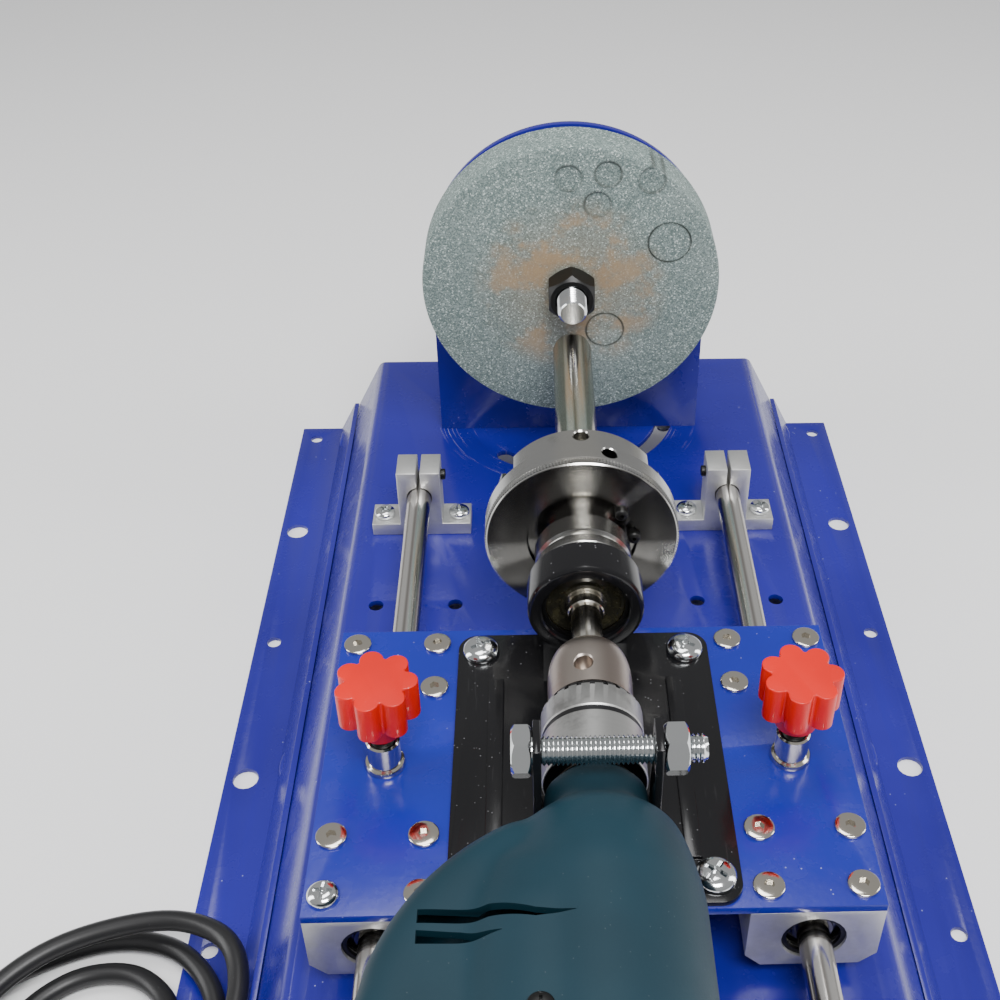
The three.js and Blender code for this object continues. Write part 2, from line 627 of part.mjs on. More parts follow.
// Keeps a tool's place at the given angle round the spindle's axis, in degrees from +X.
const around = (body, angle) => body.rotate([0, -angle, 0]);
function radialHole(radius, angle, y) {
  const length = 2 * TOMMY_HOLE_DEPTH;
  const geometry = new THREE.CylinderGeometry(TOMMY_HOLE_R, TOMMY_HOLE_R, length, 12);
  geometry.rotateZ(Math.PI / 2);
  return around(solid(geometry.translate(radius, y, 0)), angle);
}
const thirds = [0, 120, 240];

const bodyRear = RING.front + GAP;
const flangeFront = RING.rear + BACK_FLANGE.thickness;
const shaftEnds = [DRILL_CHUCK.nose - 14, flangeFront - 9];
const BIT_REAR = flangeFront - 1;

const backPlate = [
  [SHAFT_R + GAP, HOUSING.rear + 2.5],
  [HUB_R, HOUSING.rear + 2.5],
  [HUB_R, RING.rear - 5.5],
  [HUB_NECK_R, RING.rear - 5.5],
  [HUB_NECK_R, RING.rear],
  [BACK_FLANGE.r, RING.rear],
  [BACK_FLANGE.r, flangeFront],
  [BACK_FLANGE.pilotR, flangeFront],
  [BACK_FLANGE.pilotR, RING.front],
  [BIT_R + 2 * GAP, RING.front],
  [BIT_R + 2 * GAP, BIT_REAR - 1],
  [0, BIT_REAR - 1],
  [0, shaftEnds[1] + GAP],
  [SHAFT_R + GAP, shaftEnds[1] + GAP],
  [SHAFT_R + GAP, HOUSING.rear + 2.5],
];
place(spindle, "chuck_back_plate", turned(backPlate, 0, 0, CHUCK_SIDES), STEEL);
const shaftStep = HOUSING.front - 1;
const shaftProfile = [
  [0, shaftEnds[0]],
  [SHAFT_FRONT_R, shaftEnds[0]],
  [SHAFT_FRONT_R, shaftStep],
  [SHAFT_R, shaftStep],
  [SHAFT_R, shaftEnds[1]],
  [0, shaftEnds[1]],
];
place(spindle, "spindle_shaft", turned(shaftProfile, 0, 0, SHAFT_SIDES), STEEL);

const scrollRing = [
  [BACK_FLANGE.pilotR + RUNNING, flangeFront + GAP],
  [BACK_FLANGE.r + GAP, flangeFront + GAP],
  [BACK_FLANGE.r + GAP, RING.rear],
  [RING.r - 0.6, RING.rear],
  [RING.r, RING.rear + 0.6],
  [RING.r, RING.front],
  [BACK_FLANGE.pilotR + RUNNING, RING.front],
  [BACK_FLANGE.pilotR + RUNNING, flangeFront + GAP],
];
const ringHoleY = (RING.rear + RING.front) / 2 + 1.5;
const ringHoles = thirds.map((turn) => radialHole(RING.r, 74 + turn, ringHoleY));
place(spindle, "scroll_ring", cut(turned(scrollRing, 0, 0, CHUCK_SIDES), ...ringHoles), STEEL);

function chuckBody() {
  const outer = [
    [BIT_R + 2 * GAP, bodyRear],
    [CHUCK_BODY.r, bodyRear],
    [CHUCK_BODY.r, CHUCK_BODY.front - 1],
    [CHUCK_BODY.r - 1, CHUCK_BODY.front],
    [BIT_R + 2 * GAP, CHUCK_BODY.front],
    [BIT_R + 2 * GAP, bodyRear],
  ];
  const slotHalf = JAW.width / 2 + GAP;
  const slotBottom = CHUCK_BODY.front - JAW.guideDepth - GAP;
  const slots = JAW.angles.map((angle) =>
    around(box(0, CHUCK_BODY.r + 2, slotBottom, CHUCK_BODY.front + 1, -slotHalf, slotHalf), angle),
  );
  const holes = thirds.map((turn) => radialHole(CHUCK_BODY.r, 90 + turn, CHUCK_BODY.front - 4.6));
  return cut(turned(outer, 0, 0, CHUCK_SIDES), ...slots, ...holes);
}
place(spindle, "chuck_body", chuckBody(), STEEL);

JAW.angles.forEach((angle, index) => {
  const [inner, half] = [BIT_R + GAP, JAW.width / 2];
  const guide = box(inner, JAW.outer, CHUCK_BODY.front - JAW.guideDepth, CHUCK_BODY.front + 3, -half, half);
  const nose = box(inner, JAW.stepR, CHUCK_BODY.front + 2, CHUCK_BODY.front + JAW.reach, -half, half);
  place(spindle, `chuck_jaw_${index + 1}`, around(guide.add(nose), angle), STEEL);
});

const bitProfile = [
  [0, BIT_REAR],
  [BIT_R, BIT_REAR],
  [BIT_R, BIT_TIP_Y - 6],
  [6.5, BIT_TIP_Y - 2.5],
  [3, BIT_TIP_Y],
  [0, BIT_TIP_Y],
];
place(spindle, "work_bit", turned(bitProfile), STEEL);

const outputShaftRear = DRILL.shoulder - 12;
const noseCurve = [0, 22.5, 45, 67.5, 90].map((degrees) => {
  const angle = THREE.MathUtils.degToRad(degrees);
  const swell = (DRILL_CHUCK.bodyR - DRILL_CHUCK.noseR) * Math.sin(angle);
  return [DRILL_CHUCK.noseR + swell, DRILL_CHUCK.nose - NOSE_LENGTH * (1 - Math.cos(angle))];
});
const drillChuckProfile = [
  [0, shaftEnds[0] - GAP],
  [SHAFT_FRONT_R + GAP, shaftEnds[0] - GAP],
  [SHAFT_FRONT_R + GAP, DRILL_CHUCK.nose],
  ...noseCurve,
  [DRILL_CHUCK.bodyR, DRILL_CHUCK.seam + GAP],
  [DRILL_CHUCK.coreR, DRILL_CHUCK.seam + GAP],
  [DRILL_CHUCK.coreR, DRILL_CHUCK.rear],
  [5, DRILL_CHUCK.rear],
  [5, outputShaftRear],
  [0, outputShaftRear],
];
const keyHoles = thirds.map((turn) => radialHole(DRILL_CHUCK.bodyR + 2, 100 + turn, DRILL_CHUCK.nose - 13));
place(spindle, "drill_chuck", cut(turned(drillChuckProfile), ...keyHoles), STEEL);
const sleeve = ring(
  DRILL_CHUCK.coreR + RUNNING,
  DRILL_CHUCK.sleeveR,
  DRILL_CHUCK.rear + 0.5,
  DRILL_CHUCK.seam - GAP,
);
place(spindle, "drill_chuck_sleeve", turned(sleeve), DARK_STEEL);

// ---------- Drill ----------
// The housing lies on its side: a round motor barrel and a flank that sweeps out to the grip.
// It is made in two half shells.
const gripShape = (inset) => {
  const shape = new THREE.Shape();
  shape.moveTo(-4, DRILL.shoulder - 10 - inset);
  shape.lineTo(-22 + inset, DRILL.shoulder - 6 - inset);
  shape.quadraticCurveTo(-46 + inset, DRILL.shoulder - 22, -56 + inset, DRILL.shoulder - 48 - inset);
  shape.quadraticCurveTo(-60, GRIP.rear, -74, GRIP.rear - inset);
  shape.lineTo(GRIP.end + inset, GRIP.rear - 10 - inset);
  shape.lineTo(GRIP.end + inset, GRIP.front + inset);
  shape.lineTo(-40, GRIP.front + 6 + inset);
  shape.lineTo(-4, GRIP.front + 10);
  return shape;
};

function barrel(inset) {
  const r = DRILL.r - inset;
  const profile = [
    [0, DRILL.shoulder - inset],
    [COLLAR_R + 2 - inset, DRILL.shoulder - inset],
    [COLLAR_R + 8 - inset, DRILL.shoulder - 6],
    [r - 2, DRILL.shoulder - 15],
    [r, DRILL.full],
    [r, DRILL.straightEnd],
    [r - 4, DRILL.rear + 10],
    [r - 14, DRILL.rear + inset],
    [0, DRILL.rear + inset],
  ];
  return turned(profile, 0, SPINDLE_HEIGHT, 28);
}

function grip(inset) {
  const bevel = GRIP.bevel;
  const depth = 2 * (GRIP.halfHeight - inset) - 2 * bevel;
  const options = {
    depth,
    bevelSize: bevel,
    bevelOffset: -bevel,
    bevelThickness: bevel,
    bevelSegments: 3,
    curveSegments: 6,
  };
  const geometry = new THREE.ExtrudeGeometry(gripShape(inset), options);
  return solid(geometry.translate(0, 0, SPINDLE_HEIGHT - depth / 2));
}

const collarRear = CLAMP.rear - 0.5;
const TRIGGER = { x0: -96, x1: -68, half: 6, out: 5, travel: 4, depth: 10 };
const drillOuter = union(
  barrel(0),
  grip(0),
  turned(rod(COLLAR_R, DRILL.shoulder - 2, collarRear), 0, SPINDLE_HEIGHT),
);
const drillInner = union(
  barrel(DRILL.wall),
  grip(DRILL.wall),
  turned(rod(6, DRILL.shoulder - 6, collarRear + 1), 0, SPINDLE_HEIGHT),
  box(
    TRIGGER.x0 - GAP,
    TRIGGER.x1 + GAP,
    GRIP.rear - 16,
    GRIP.rear + 8,
    SPINDLE_HEIGHT - TRIGGER.half - GAP,
    SPINDLE_HEIGHT + TRIGGER.half + GAP,
  ),
);
const drillShell = drillOuter.subtract(drillInner);
const drillGroup = new THREE.Group();
const REACH = 500; // larger than the drill, for the halving boxes
const aboveSplit = box(-REACH, REACH, -REACH, REACH, SPINDLE_HEIGHT + DRILL.split, REACH);
const belowSplit = box(-REACH, REACH, -REACH, REACH, -REACH, SPINDLE_HEIGHT - DRILL.split);
place(drillGroup, "drill_housing_upper", drillShell.intersect(aboveSplit), TEAL);
place(drillGroup, "drill_housing_lower", drillShell.intersect(belowSplit), TEAL);

const armatureFront = outputShaftRear - 4;
const armatureProfile = [
  [0, armatureFront],
  [4, armatureFront],
  [4, armatureFront - 12],
  [18, armatureFront - 14],
  [18, armatureFront - 18],
  [15, armatureFront - 22],
  [15, armatureFront - 68],
  [10, armatureFront - 72],
  [10, armatureFront - 92],
  [4, armatureFront - 94],
  [4, armatureFront - 108],
  [0, armatureFront - 108],
];
place(drillGroup, "drill_armature", turned(armatureProfile, 0, SPINDLE_HEIGHT, 20), COPPER);

const triggerFace = GRIP.rear + TRIGGER.out;
const triggerRear = triggerFace - TRIGGER.out - TRIGGER.depth + 1;
const triggerShape = roundedRectangle(TRIGGER.x0, TRIGGER.x1, triggerRear, triggerFace, 3);
const triggerBody = prismZ(triggerShape, SPINDLE_HEIGHT - TRIGGER.half, SPINDLE_HEIGHT + TRIGGER.half, 4);
place(drillGroup, "drill_trigger", triggerBody, BLACK);

// ---------- Cord ----------
const reliefLength = 40;
const reliefX = GRIP.end - GAP;
const reliefProfile = [[0, 0], [7, 0], [7, 5], [6, 7], [4.4, reliefLength], [0, reliefLength]];
const reliefGeometry = new THREE.LatheGeometry(reliefProfile.map(([r, h]) => new THREE.Vector2(r, h)), 16);
const relief = solid(reliefGeometry.rotateZ(Math.PI / 2).translate(reliefX, GRIP.cordY, SPINDLE_HEIGHT));
place(drillGroup, "cord_strain_relief", relief, RUBBER);

const floorZ = -DECK_HEIGHT + CORD_R + GAP; // centre line of cord lying on the bench
const coilHalf = 2 * CORD_R + GAP; // two turns wide and two high
const coilStartX = CORD_COIL.x - CORD_COIL.r;
const cordEndY = CORD_COIL.y + Math.sqrt((CORD_COIL.r + coilHalf) ** 2 - (CORD_COIL.r - CORD_R) ** 2) + GAP;
// The route from the strain relief to the coil, point by point.
const cordRoute = [
  [reliefX - reliefLength - GAP, GRIP.cordY, SPINDLE_HEIGHT],
  [-196, -318, 69],
  [-213, -317, 61],
  [-230, -314, 42],
  [-242, -308, 10],
  [-250, -297, -18],
  [-253, -280, -35],
  [-249, -257, floorZ + 0.8],
  [-237, -230, floorZ + 0.3],
  [-217, -206, floorZ + 0.3],
  [-191, -186, floorZ + 0.3],
  [-164, -177, floorZ + 1],
  [-140, -183, floorZ + 3],
  [-125, -201, floorZ + 3],
  [-124, -224, floorZ + 3],
  [-137, -245, floorZ + 3],
  [-161, -255, floorZ + 1.5],
  [-186, -248, floorZ + 3],
  [-201, -229, floorZ + 6],
  [-200, -206, floorZ + 9],
  [-185, -189, floorZ + 11],
  [-162, -180, floorZ + 13],
  [-138, -179, floorZ + 15],
  [-120, -189, floorZ + 17],
  [-114, -208, floorZ + 17],
  [-119, -230, floorZ + 16],
  [-135, -246, floorZ + 13],
  [-157, -252, floorZ + 10],
  [-179, -244, floorZ + 5],
  [-192, -226, floorZ + 0.5],
  [-189, -205, floorZ + 0.3],
  [-174, -191, floorZ + 0.3],
  [-154, -191, floorZ + 2],
  [-139, -205, floorZ + 5],
  [-138, -226, floorZ + 10],
  [-152, -244, floorZ + 17],
  [-175, -257, floorZ + 16],
  [-204, -266, floorZ + 7],
  [-229, -280, floorZ + 0.8],
  [-241, -296, floorZ + 0.3],
  [coilStartX, cordEndY, floorZ + 0.3],
];
const cordPoints = cordRoute.map((p) => new THREE.Vector3(...p));
const cordCurve = new THREE.CatmullRomCurve3(cordPoints, false, "centripetal");
const cordSection = new THREE.Shape();
cordSection.absarc(0, 0, CORD_R, 0, 2 * Math.PI, false);
const cordGeometry = new THREE.ExtrudeGeometry(cordSection, {
  steps: 78,
  bevelEnabled: false,
  extrudePath: cordCurve,
  curveSegments: 4,
});
const cords = new THREE.Group();
place(cords, "power_cord", solid(cordGeometry), RUBBER);

const coilBottom = -DECK_HEIGHT + GAP;
const coilTop = coilBottom + 4 * CORD_R;
const coilRing = ring(CORD_COIL.r - coilHalf, CORD_COIL.r + coilHalf, coilBottom, coilTop);
place(cords, "cord_coil", upright(coilRing, CORD_COIL.x, CORD_COIL.y, 32), RUBBER);

function plug() {
  const [x0, x1] = [PLUG.x - PLUG.length / 2, PLUG.x + PLUG.length / 2];
  const half = PLUG.width / 2;
  const z0 = -DECK_HEIGHT + GAP;
  const shape = roundedRectangle(x0, x1, PLUG.y - half, PLUG.y + half, 6);
  let body = prismZ(shape, z0, z0 + PLUG.height, 5);
  for (const offset of [-9.5, 9.5]) {
    const pin = new THREE.CylinderGeometry(2, 2, 20, 12).rotateZ(Math.PI / 2);
    body = body.add(solid(pin.translate(x1 + 9, PLUG.y + offset, z0 + PLUG.height / 2)));
  }
  return body;
}
place(cords, "power_plug", plug(), BLACK);

// ---------- Assembly ----------
// The origin is on the bench, under the middle of the object.
const machine = new THREE.Group();
machine.add(base, head, carriage, spindle, drillGroup, cords);
const middleY = (DRILL.rear + MOTOR.capRear + GAP + GLAND.length) / 2;
machine.position.set(0, -middleY, DECK_HEIGHT);

const sharpener = new THREE.Group();
sharpener.add(machine);
export default sharpener;
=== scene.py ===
"""Looks of a bench sharpener for drill bits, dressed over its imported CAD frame.

Sizes are written in millimetres and turned to metres by MM, except in the finishes'
patterns and the sizes of the lights, which are in metres. Positions are in the machine's
own frame: X from its middle, Y from the rear shaft supports, Z from the deck. Machine.part
turns them into the part's frame, whose origin is on the bench.
"""

import logging
import math
from dataclasses import dataclass, replace
from enum import Enum
from typing import Any, Callable, Iterable, Sequence

import bpy
from mathutils import Matrix, Vector

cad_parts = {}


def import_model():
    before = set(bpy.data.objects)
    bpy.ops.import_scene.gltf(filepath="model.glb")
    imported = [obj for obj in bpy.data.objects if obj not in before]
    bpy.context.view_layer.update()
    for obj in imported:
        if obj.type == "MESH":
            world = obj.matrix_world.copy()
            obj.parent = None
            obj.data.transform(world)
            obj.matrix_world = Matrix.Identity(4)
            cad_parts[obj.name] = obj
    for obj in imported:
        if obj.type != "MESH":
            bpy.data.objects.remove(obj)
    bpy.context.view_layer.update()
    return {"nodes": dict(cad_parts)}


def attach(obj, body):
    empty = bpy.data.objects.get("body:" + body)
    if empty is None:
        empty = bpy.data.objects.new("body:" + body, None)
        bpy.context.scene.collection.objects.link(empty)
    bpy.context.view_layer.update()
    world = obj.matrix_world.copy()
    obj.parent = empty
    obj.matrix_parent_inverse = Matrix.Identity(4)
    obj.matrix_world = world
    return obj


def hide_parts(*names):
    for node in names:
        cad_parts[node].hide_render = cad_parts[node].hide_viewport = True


LOG = logging.getLogger("sharpener")
MM = 0.001
Point = tuple[float, float]
Profile = Sequence[Point]
Place = tuple[float, float, float]


class Machine:
    """Where the machine's own frame lies in the part's frame, in millimetres."""

    MIDDLE_Y = -109.35
    DECK = 45.3

    @classmethod
    def part(cls, x: float, y: float, z: float) -> Vector:
        """Turns a machine point in millimetres into a part point in metres."""
        return Vector((x, y - cls.MIDDLE_Y, z + cls.DECK)) * MM


class Axis(Enum):
    """Direction that a turned piece grows along."""

    X = "x"
    Y = "y"
    Z = "z"

    @property
    def vector(self) -> Vector:
        """The axis as a unit vector."""
        return {
            "x": Vector((1, 0, 0)),
            "y": Vector((0, 1, 0)),
            "z": Vector((0, 0, 1)),
        }[self.value]

    @property
    def rotation(self) -> tuple[float, float, float]:
        """Euler angles that lay a circle square to the axis."""
        return {
            "x": (0.0, math.pi / 2, 0.0),
            "y": (math.pi / 2, 0.0, 0.0),
            "z": (0.0, 0.0, 0.0),
        }[self.value]


# ---------------------------------------------------------------------------
# Shader building
# ---------------------------------------------------------------------------


class Signal:
    """A node's output socket that can be used in arithmetic."""

    def __init__(self, graph: "Graph", socket: Any) -> None:
        """Wraps one output socket.

        Args:
            graph: The material graph that the socket belongs to.
            socket: The output socket.
        """
        self.graph = graph
        self.socket = socket

    def _math(self, operation: str, *others: Any) -> "Signal":
        """Adds one Math node that starts from this signal."""
        return self.graph.node(
            "ShaderNodeMath", {"operation": operation}, {0: self, **dict(enumerate(others, 1))}
        )

    def __add__(self, other: Any) -> "Signal":
        """Sum."""
        return self._math("ADD", other)

    __radd__ = __add__

    def __mul__(self, other: Any) -> "Signal":
        """Product."""
        return self._math("MULTIPLY", other)

    __rmul__ = __mul__

    def __sub__(self, other: Any) -> "Signal":
        """Difference."""
        return self._math("SUBTRACT", other)

    def __rsub__(self, other: Any) -> "Signal":
        """Difference from a number."""
        return self.graph.node("ShaderNodeMath", {"operation": "SUBTRACT"}, {0: other, 1: self})

    def __truediv__(self, other: Any) -> "Signal":
        """Quotient."""
        return self._math("DIVIDE", other)

    def root(self) -> "Signal":
        """Square root."""
        return self._math("SQRT")

    def sine(self) -> "Signal":
        """Sine, of an angle in radians."""
        return self._math("SINE")

    def above(self, level: Any) -> "Signal":
        """One where the signal is over the level, else nought."""
        return self._math("GREATER_THAN", level)

    def below(self, level: Any) -> "Signal":
        """One where the signal is under the level, else nought."""
        return self._math("LESS_THAN", level)

    def size(self) -> "Signal":
        """The signal without its sign."""
        return self._math("ABSOLUTE")

    def ramp(self, low: float, high: float, to_low: float = 0.0, to_high: float = 1.0) -> "Signal":
        """Maps low..high smoothly to to_low..to_high.

        Args:
            low: Input that gives to_low.
            high: Input that gives to_high.
            to_low: Output at and before low.
            to_high: Output at and after high.

        Returns:
            The mapped signal.
        """
        settings = {"interpolation_type": "SMOOTHSTEP"}
        return self.graph.node(
            "ShaderNodeMapRange", settings, {0: self, 1: low, 2: high, 3: to_low, 4: to_high}
        )


class Graph:
    """A material's node tree with one Principled shader."""

    def __init__(self, name: str) -> None:
        """Starts a material.

        Args:
            name: The material's name.
        """
        self.material = bpy.data.materials.new(name)
        self.material.use_nodes = True
        self.tree = self.material.node_tree
        self.tree.nodes.clear()
        self.shader = self.tree.nodes.new("ShaderNodeBsdfPrincipled")
        output = self.tree.nodes.new("ShaderNodeOutputMaterial")
        self.tree.links.new(self.shader.outputs["BSDF"], output.inputs["Surface"])
        self._place: Signal | None = None

    def node(self, kind: str, settings: dict[str, Any], inputs: dict[Any, Any], output: Any = 0) -> Signal:
        """Adds one node.

        Args:
            kind: Blender's name for the node's type.
            settings: Node properties, set before its sockets.
            inputs: Values or signals by socket name or number.
            output: Name or number of the output to return.

        Returns:
            The chosen output as a signal.
        """
        made = self.tree.nodes.new(kind)
        for key, value in settings.items():
            setattr(made, key, value)
        for key, value in inputs.items():
            self._feed(made.inputs[key], value)
        return Signal(self, made.outputs[output])

    def _feed(self, socket: Any, value: Any) -> None:
        """Links a signal to a socket, or sets a constant on it."""
        if isinstance(value, Signal):
            self.tree.links.new(value.socket, socket)
        elif isinstance(value, tuple) and len(value) == 3 and socket.type == "RGBA":
            socket.default_value = (*value, 1.0)
        else:
            socket.default_value = value

    @property
    def place(self) -> Signal:
        """Object coordinates, in metres."""
        if self._place is None:
            self._place = self.node("ShaderNodeTexCoord", {}, {}, "Object")
        return self._place

    def moved(self, origin: Vector, stretch: Place = (1.0, 1.0, 1.0)) -> Signal:
        """Object coordinates measured from an origin, then stretched.

        Args:
            origin: The new origin, in metres.
            stretch: Factor along each axis.

        Returns:
            The vector signal.
        """
        centred = self.node(
            "ShaderNodeVectorMath", {"operation": "SUBTRACT"}, {0: self.place, 1: tuple(origin)}
        )
        return self.node("ShaderNodeVectorMath", {"operation": "MULTIPLY"}, {0: centred, 1: stretch})

    def parts(self, vector: Signal) -> tuple[Signal, Signal, Signal]:
        """Splits a vector signal into its three components."""
        split = self.tree.nodes.new("ShaderNodeSeparateXYZ")
        self.tree.links.new(vector.socket, split.inputs[0])
        return Signal(self, split.outputs[0]), Signal(self, split.outputs[1]), Signal(self, split.outputs[2])

    def noise(
        self, per_metre: float, detail: float = 2.0, rough: float = 0.5, vector: Signal | None = None
    ) -> Signal:
        """Soft noise from nought to one.

        Args:
            per_metre: Cells in a metre.
            detail: Octaves.
            rough: Weight of each finer octave.
            vector: Coordinates, the object's own when left out.

        Returns:
            The noise signal.
        """
        inputs = {"Vector": vector or self.place, "Scale": per_metre, "Detail": detail, "Roughness": rough}
        return self.node("ShaderNodeTexNoise", {}, inputs, 0)

    def cells(self, per_metre: float, output: str = "Distance", vector: Signal | None = None) -> Signal:
        """Voronoi cells: the distance to the nearest seed, or a colour for each cell."""
        inputs = {"Vector": vector or self.place, "Scale": per_metre}
        return self.node("ShaderNodeTexVoronoi", {}, inputs, output)

    def mix(self, share: Any, first: Any, second: Any) -> Signal:
        """Blends two colours.

        Args:
            share: How much of the second colour, from nought to one.
            first: Colour or colour signal.
            second: Colour or colour signal.

        Returns:
            The blended colour.
        """
        made = self.tree.nodes.new("ShaderNodeMix")
        made.data_type = "RGBA"
        self._feed(made.inputs[0], share)
        self._feed(made.inputs[6], first)
        self._feed(made.inputs[7], second)
        return Signal(self, made.outputs[2])

    def bump(
        self, height: Signal, depth: float, strength: float = 1.0, under: Signal | None = None
    ) -> Signal:
        """A Bump node.

        Args:
            height: The relief, nought to one.
            depth: How deep the relief is, in metres.
            strength: How much of it shows.
            under: A normal that this relief lies on.

        Returns:
            The bent normal.
        """
        inputs = {"Height": height, "Distance": depth, "Strength": strength}
        if under is not None:
            inputs["Normal"] = under
        return self.node("ShaderNodeBump", {}, inputs)

    def dress(self, **inputs: Any) -> bpy.types.Material:
        """Feeds the shader's sockets, named with underscores for blanks.

        Returns:
            The finished material.
        """
        for key, value in inputs.items():
            self._feed(self.shader.inputs[key.replace("_", " ")], value)
        return self.material


# ---------------------------------------------------------------------------
# Finishes
# ---------------------------------------------------------------------------


@dataclass(frozen=True)
class Finish:
    """A named surface finish that makes its material once."""

    name: str

    def material(self) -> bpy.types.Material:
        """The finish's material, made on first use."""
        return bpy.data.materials.get(self.name) or self.build(Graph(self.name))

    def build(self, graph: Graph) -> bpy.types.Material:
        """Fills the graph; each finish has its own."""
        raise NotImplementedError


@dataclass(frozen=True)
class PowderCoat(Finish):
    """Glossy powder paint with orange peel, a cloudy shade and specks of dust."""

    color: Place = (0.017, 0.014, 0.27)
    shade: Place = (0.012, 0.009, 0.2)
    dust: float = 0.035
    roughness: float = 0.24

    def build(self, graph: Graph) -> bpy.types.Material:
        """Paint, peel and dust."""
        cloud = graph.noise(9.0, 3.0).ramp(0.3, 0.7)
        paint = graph.mix(cloud, self.color, self.shade)
        seeds = graph.cells(260.0)
        patch = graph.noise(30.0, 2.0).ramp(0.52, 0.62)
        specks = seeds.below(self.dust * 2.2) * patch
        colour = graph.mix(specks * 0.5, paint, (0.45, 0.5, 0.75))
        peel = graph.noise(420.0, 2.0, 0.55)
        scuff = graph.noise(60.0, 4.0, 0.65).ramp(0.45, 0.75)
        return graph.dress(
            Base_Color=colour,
            Roughness=scuff * 0.12 + specks * 0.3 + self.roughness,
            Normal=graph.bump(peel, 0.00006, 0.8),
            Coat_Weight=0.12,
            Coat_Roughness=0.12,
            Specular_IOR_Level=0.5,
        )


@dataclass(frozen=True)
class ScratchedDeck(PowderCoat):
    """Deck paint: the powder coat with fine arcs scratched round the swivel."""

    centre: Place = (0.0, 86.0, 0.0)

    def build(self, graph: Graph) -> bpy.types.Material:
        """The coat, then scratches where the head's foot has dragged."""
        super().build(graph)
        x, y, _ = graph.parts(graph.moved(Machine.part(*self.centre)))
        radius = (x * x + y * y).root()
        zone = radius.ramp(0.041, 0.044) * radius.ramp(0.062, 0.066, 1.0, 0.0) * y.below(-0.012)
        streak = graph.noise(
            1.0, 3.0, 0.7, graph.node("ShaderNodeCombineXYZ", {}, {0: radius * 2600.0, 1: x * 24.0})
        )
        scratches = streak.ramp(0.6, 0.68) * zone * graph.noise(70.0, 2.0).ramp(0.45, 0.6)
        base = Signal(graph, graph.shader.inputs["Base Color"].links[0].from_socket)
        return graph.dress(Base_Color=graph.mix(scratches * 0.85, base, (0.55, 0.57, 0.68)))


@dataclass(frozen=True)
class Enamel(Finish):
    """Black gloss enamel with wiped dust and hairline scratches."""

    color: Place = (0.006, 0.006, 0.007)
    roughness: float = 0.16

    def build(self, graph: Graph) -> bpy.types.Material:
        """Enamel, smears and scratches."""
        smear = graph.noise(22.0, 4.0, 0.6, graph.moved(Vector((0, 0, 0)), (1.0, 0.35, 1.0))).ramp(0.5, 0.78)
        dust = graph.cells(420.0).below(0.1) * graph.noise(40.0, 1.0).ramp(0.45, 0.6)
        hair = graph.noise(90.0, 2.0, 0.6, graph.moved(Vector((0, 0, 0)), (7.0, 0.6, 1.0))).ramp(0.66, 0.7)
        return graph.dress(
            Base_Color=graph.mix(dust * 0.3 + hair * 0.015, self.color, (0.4, 0.4, 0.42)),
            Roughness=smear * 0.1 + hair * 0.03 + self.roughness,
            Normal=graph.bump(graph.noise(120.0, 2.0), 0.00005, 0.5),
            Specular_IOR_Level=0.38,
            Coat_Weight=0.08,
            Coat_Roughness=0.12,
        )


@dataclass(frozen=True)
class BlastedMetal(Finish):
    """Bead-blasted light alloy: a fine even grain with brighter rubbed patches."""

    color: Place = (0.62, 0.62, 0.61)
    roughness: float = 0.42
    grain: float = 2600.0

    def build(self, graph: Graph) -> bpy.types.Material:
        """Grain, stains and rubs."""
        grain = graph.noise(self.grain, 2.0, 0.6)
        stain = graph.noise(120.0, 3.0, 0.6).ramp(0.4, 0.75)
        darker = tuple(c * 0.72 for c in self.color)
        return graph.dress(
            Base_Color=graph.mix(stain * 0.6 + grain * 0.25, self.color, darker),
            Metallic=0.9,
            Roughness=stain * 0.12 + grain * 0.1 + self.roughness,
            Normal=graph.bump(grain, 0.00005, 0.9),
        )


